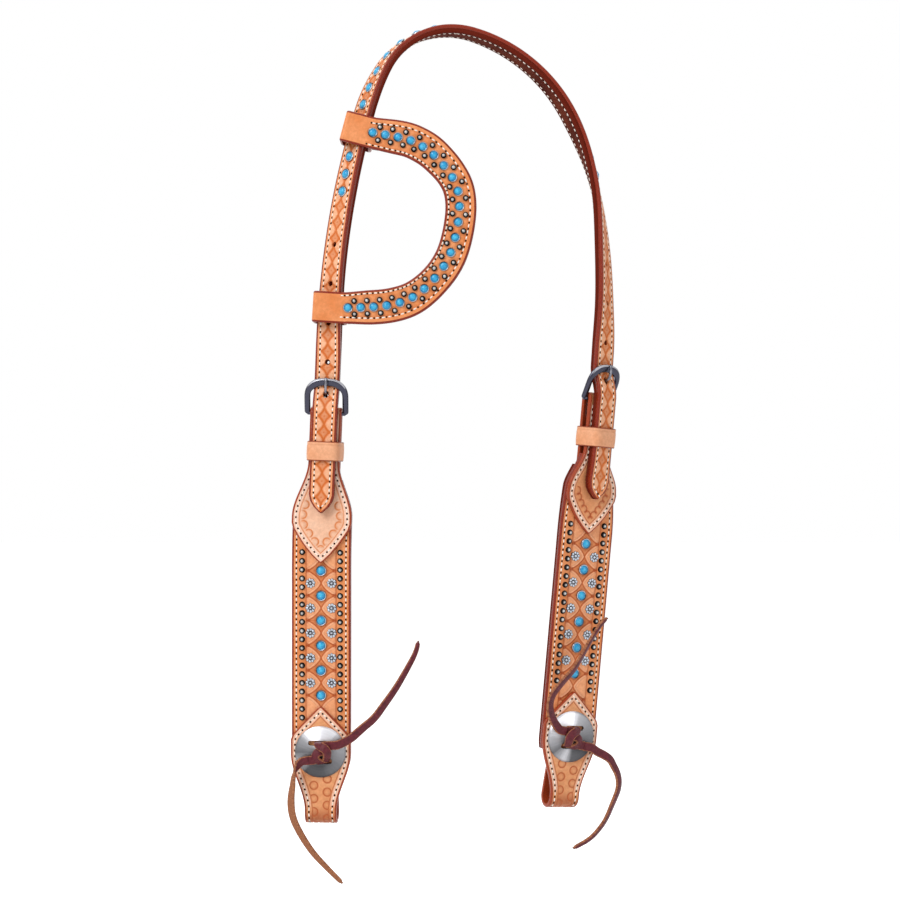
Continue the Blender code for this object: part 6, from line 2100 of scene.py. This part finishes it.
def spun_steel_look(groups):
    """Steel spun on a lathe: fine rings, and a fan of light and dark tones painted by turn round
    the middle, a painted reflection.
    """
    look = Look("spun_steel")
    wear = wear_and_shine(look, groups)
    axes = look.add("SeparateXYZ", {0: look.layout()}).outputs
    turns, reach = axes["X"], axes["Y"]

    def along(*parts):
        return look.add("CombineXYZ", dict(enumerate(parts))).outputs[0]

    rings = look.noise(along(look.times(reach, 52.0)), 1.0, 3.0, 0.6)
    bands = look.noise(along(look.times(reach, 7.0)), 1.0, 2.0)
    tone = look.ramp(look.plus(look.times(rings, 0.55), look.times(bands, 0.45)), 0.25, 0.8)
    streaks = look.noise(along(look.times(turns, 60.0), reach), 1.0, 3.0)
    turned = look.plus(turns, look.swing(streaks, 0.06))
    # A fan of tones by turn round the middle, a painted reflection
    fan = look.add("ValToRGB", {0: look.plus(turned, 0.5)})
    stops = fan.color_ramp.elements
    while len(stops) < len(STEEL_REFLECTION_FAN):
        stops.new(0.5)
    for stop, (at, level) in zip(stops, STEEL_REFLECTION_FAN):
        stop.position, stop.color = at, (level, level, level * 1.05, 1.0)
    color = look.mix(look.times(tone, 0.35), fan.outputs[0], STEEL_DARK)
    values = {
        "Base Color": look.mix(look.times(wear["Tarnish and shine"], 0.7), color, STEEL_RIM),
        "Metallic": 1.0,
        "Roughness": look.ramp(tone, 0.0, 1.0, 0.48, 0.40),
        "Anisotropic": 0.9,
        "Anisotropic Rotation": 0.25,
        "Tangent": look.add("Tangent", direction_type="UV_MAP", uv_map="flat").outputs[0],
    }
    return look.finish(values, rings, 0.3, 0.00003)


def stone_look():
    """Turquoise: clear sky blue, a little cloudy, with a few pale veins and a wax polish, darkened
    towards its foot with painted shade.
    """
    look = Look("turquoise_stone")
    spot = look.spot()
    cloud = look.ramp(look.noise(spot, 420.0, 4.0), 0.3, 0.7)
    crack = look.maths("ABSOLUTE", look.maths("SUBTRACT", look.noise(spot, 300.0, 5.0, 0.6), 0.5))
    vein = look.ramp(crack, 0.0, 0.018, 1.0, 0.0)
    color = look.mix(cloud, STONE_DEEP, STONE_LIGHT)
    color = look.mix(look.times(vein, 0.5), color, STONE_VEIN)
    values = {
        # Painted shade towards the stone's foot, from the dome's mask
        "Base Color": look.mix(look.times(look.mask("edge"), 0.55), color, STONE_FOOT_SHADE),
        "Roughness": look.ramp(cloud, 0.0, 1.0, 0.22, 0.32),
        "Specular IOR Level": 0.3,
        "Coat Weight": 0.15,
        "Coat Roughness": 0.1,
    }
    return look.finish(values, cloud, 0.15, 0.00005)


def thread_look():
    """Waxed cream thread: its twist shows as a slanting rib, a little grubby in random patches."""
    look = Look("waxed_thread")
    spot = look.spot()
    grime = look.times(look.ramp(look.noise(spot, 500.0, 4.0, 0.7), 0.35, 0.75), 0.6)
    bands = {"Scale": 900.0, "Distortion": 1.0, "Vector": spot}
    ribs = look.add("TexWave", bands, wave_type="BANDS", bands_direction="DIAGONAL")
    values = {"Base Color": look.mix(grime, THREAD_CLEAN, THREAD_GRUBBY), "Roughness": 0.62}
    return look.finish(values, ribs.outputs["Fac"], 0.5, 0.00008)


def hole_look():
    """The shade inside a needle hole."""
    look = Look("needle_hole_shade")
    tone = look.noise(look.spot(), 900.0, 2.0)
    values = {
        "Base Color": look.mix(tone, HOLE_DARK, HOLE_LIGHT),
        "Roughness": look.ramp(tone, 0.0, 1.0, 0.75, 0.95),
        "Specular IOR Level": 0.1,
    }
    return look.finish(values)


def make_looks():
    groups = {
        "grain": leather_grain_group(),
        "tooling": tooling_group(),
        "metal": metal_wear_and_shine_group(),
    }
    looks = {key: leather_look(groups, *rest) for key, *rest in LEATHERS}
    looks.update({key: metal_look(groups, *rest) for key, *rest in METALS})
    looks.update(lace=lace_look(groups), steel=spun_steel_look(groups), turquoise=stone_look())
    looks.update(thread=thread_look(), hole=hole_look())
    return looks


# Stage and camera


def seen_directly(net):
    """1 for what the camera sees straight, in a reflection or through something, else 0."""
    path = net.add("LightPath").outputs
    seen = net.maths("MAXIMUM", path["Is Camera Ray"], path["Is Glossy Ray"])
    return net.maths("MAXIMUM", seen, path["Is Transmission Ray"])


def make_camera(scene):
    data = bpy.data.cameras.new("camera")
    data.lens, data.sensor_width = CAMERA_LENS, 36.0
    camera = bpy.data.objects.new("camera", data)
    scene.collection.objects.link(camera)
    camera.matrix_world = Matrix.Translation(CAMERA_PLACE) @ QUARTER_X
    scene.camera = camera


def make_world(scene):
    scene.world = bpy.data.worlds.new("studio")
    scene.world.use_nodes = True
    net = Net(scene.world.node_tree)
    net.tree.nodes.clear()
    soft_light, white = (
        net.add("Background", {"Color": WHITE, "Strength": strength}).outputs[0]
        for strength in (WORLD_LIGHT, 1.0)
    )
    chosen = net.add("MixShader", {0: seen_directly(net), 1: soft_light, 2: white})
    net.add("OutputWorld", {0: chosen.outputs[0]})


def make_floor(scene):
    mesh = bpy.data.meshes.new("floor")
    corners = ((-1, -1), (1, -1), (1, 1), (-1, 1))
    mesh.from_pydata([(6.0 * x, 6.0 * y, FLOOR_LEVEL) for x, y in corners], [], [(0, 1, 2, 3)])
    floor = bpy.data.objects.new("floor", mesh)
    scene.collection.objects.link(floor)
    look = Look("pale_floor")
    values = {
        "Base Color": (0.9, 0.9, 0.9),
        "Roughness": 0.9,
        "Emission Color": WHITE,
        "Emission Strength": look.times(seen_directly(look), FLOOR_GLOW),
    }
    mesh.materials.append(look.finish(values))


def make_stage():
    scene = bpy.context.scene
    scene.view_settings.view_transform = "Standard"
    make_camera(scene)
    make_world(scene)
    make_floor(scene)
    for name, spot, size, power, aim in LAMPS:
        data = bpy.data.lights.new(name, "AREA")
        data.shape, data.energy = "RECTANGLE", power
        data.size, data.size_y = size
        lamp = bpy.data.objects.new(name, data)
        scene.collection.objects.link(lamp)
        turn = (Vector(aim) - Vector(spot)).to_track_quat("-Z", "Y").to_matrix().to_4x4()
        lamp.matrix_world = Matrix.Translation(spot) @ turn


PIECES = bpy.data.collections.new("western_headstall_pieces")
bpy.context.scene.collection.children.link(PIECES)


def main():
    make_stage()
    looks = make_looks()
    for make in (make_tails, make_crown, make_ear):
        make(looks)
    for side in SIDES:
        for make in (
            make_cheek, make_top_billet, make_bit_billet, make_keeper, make_buckle, make_tongue,
            make_concho, make_knot,
        ):
            make(side, looks)


main()
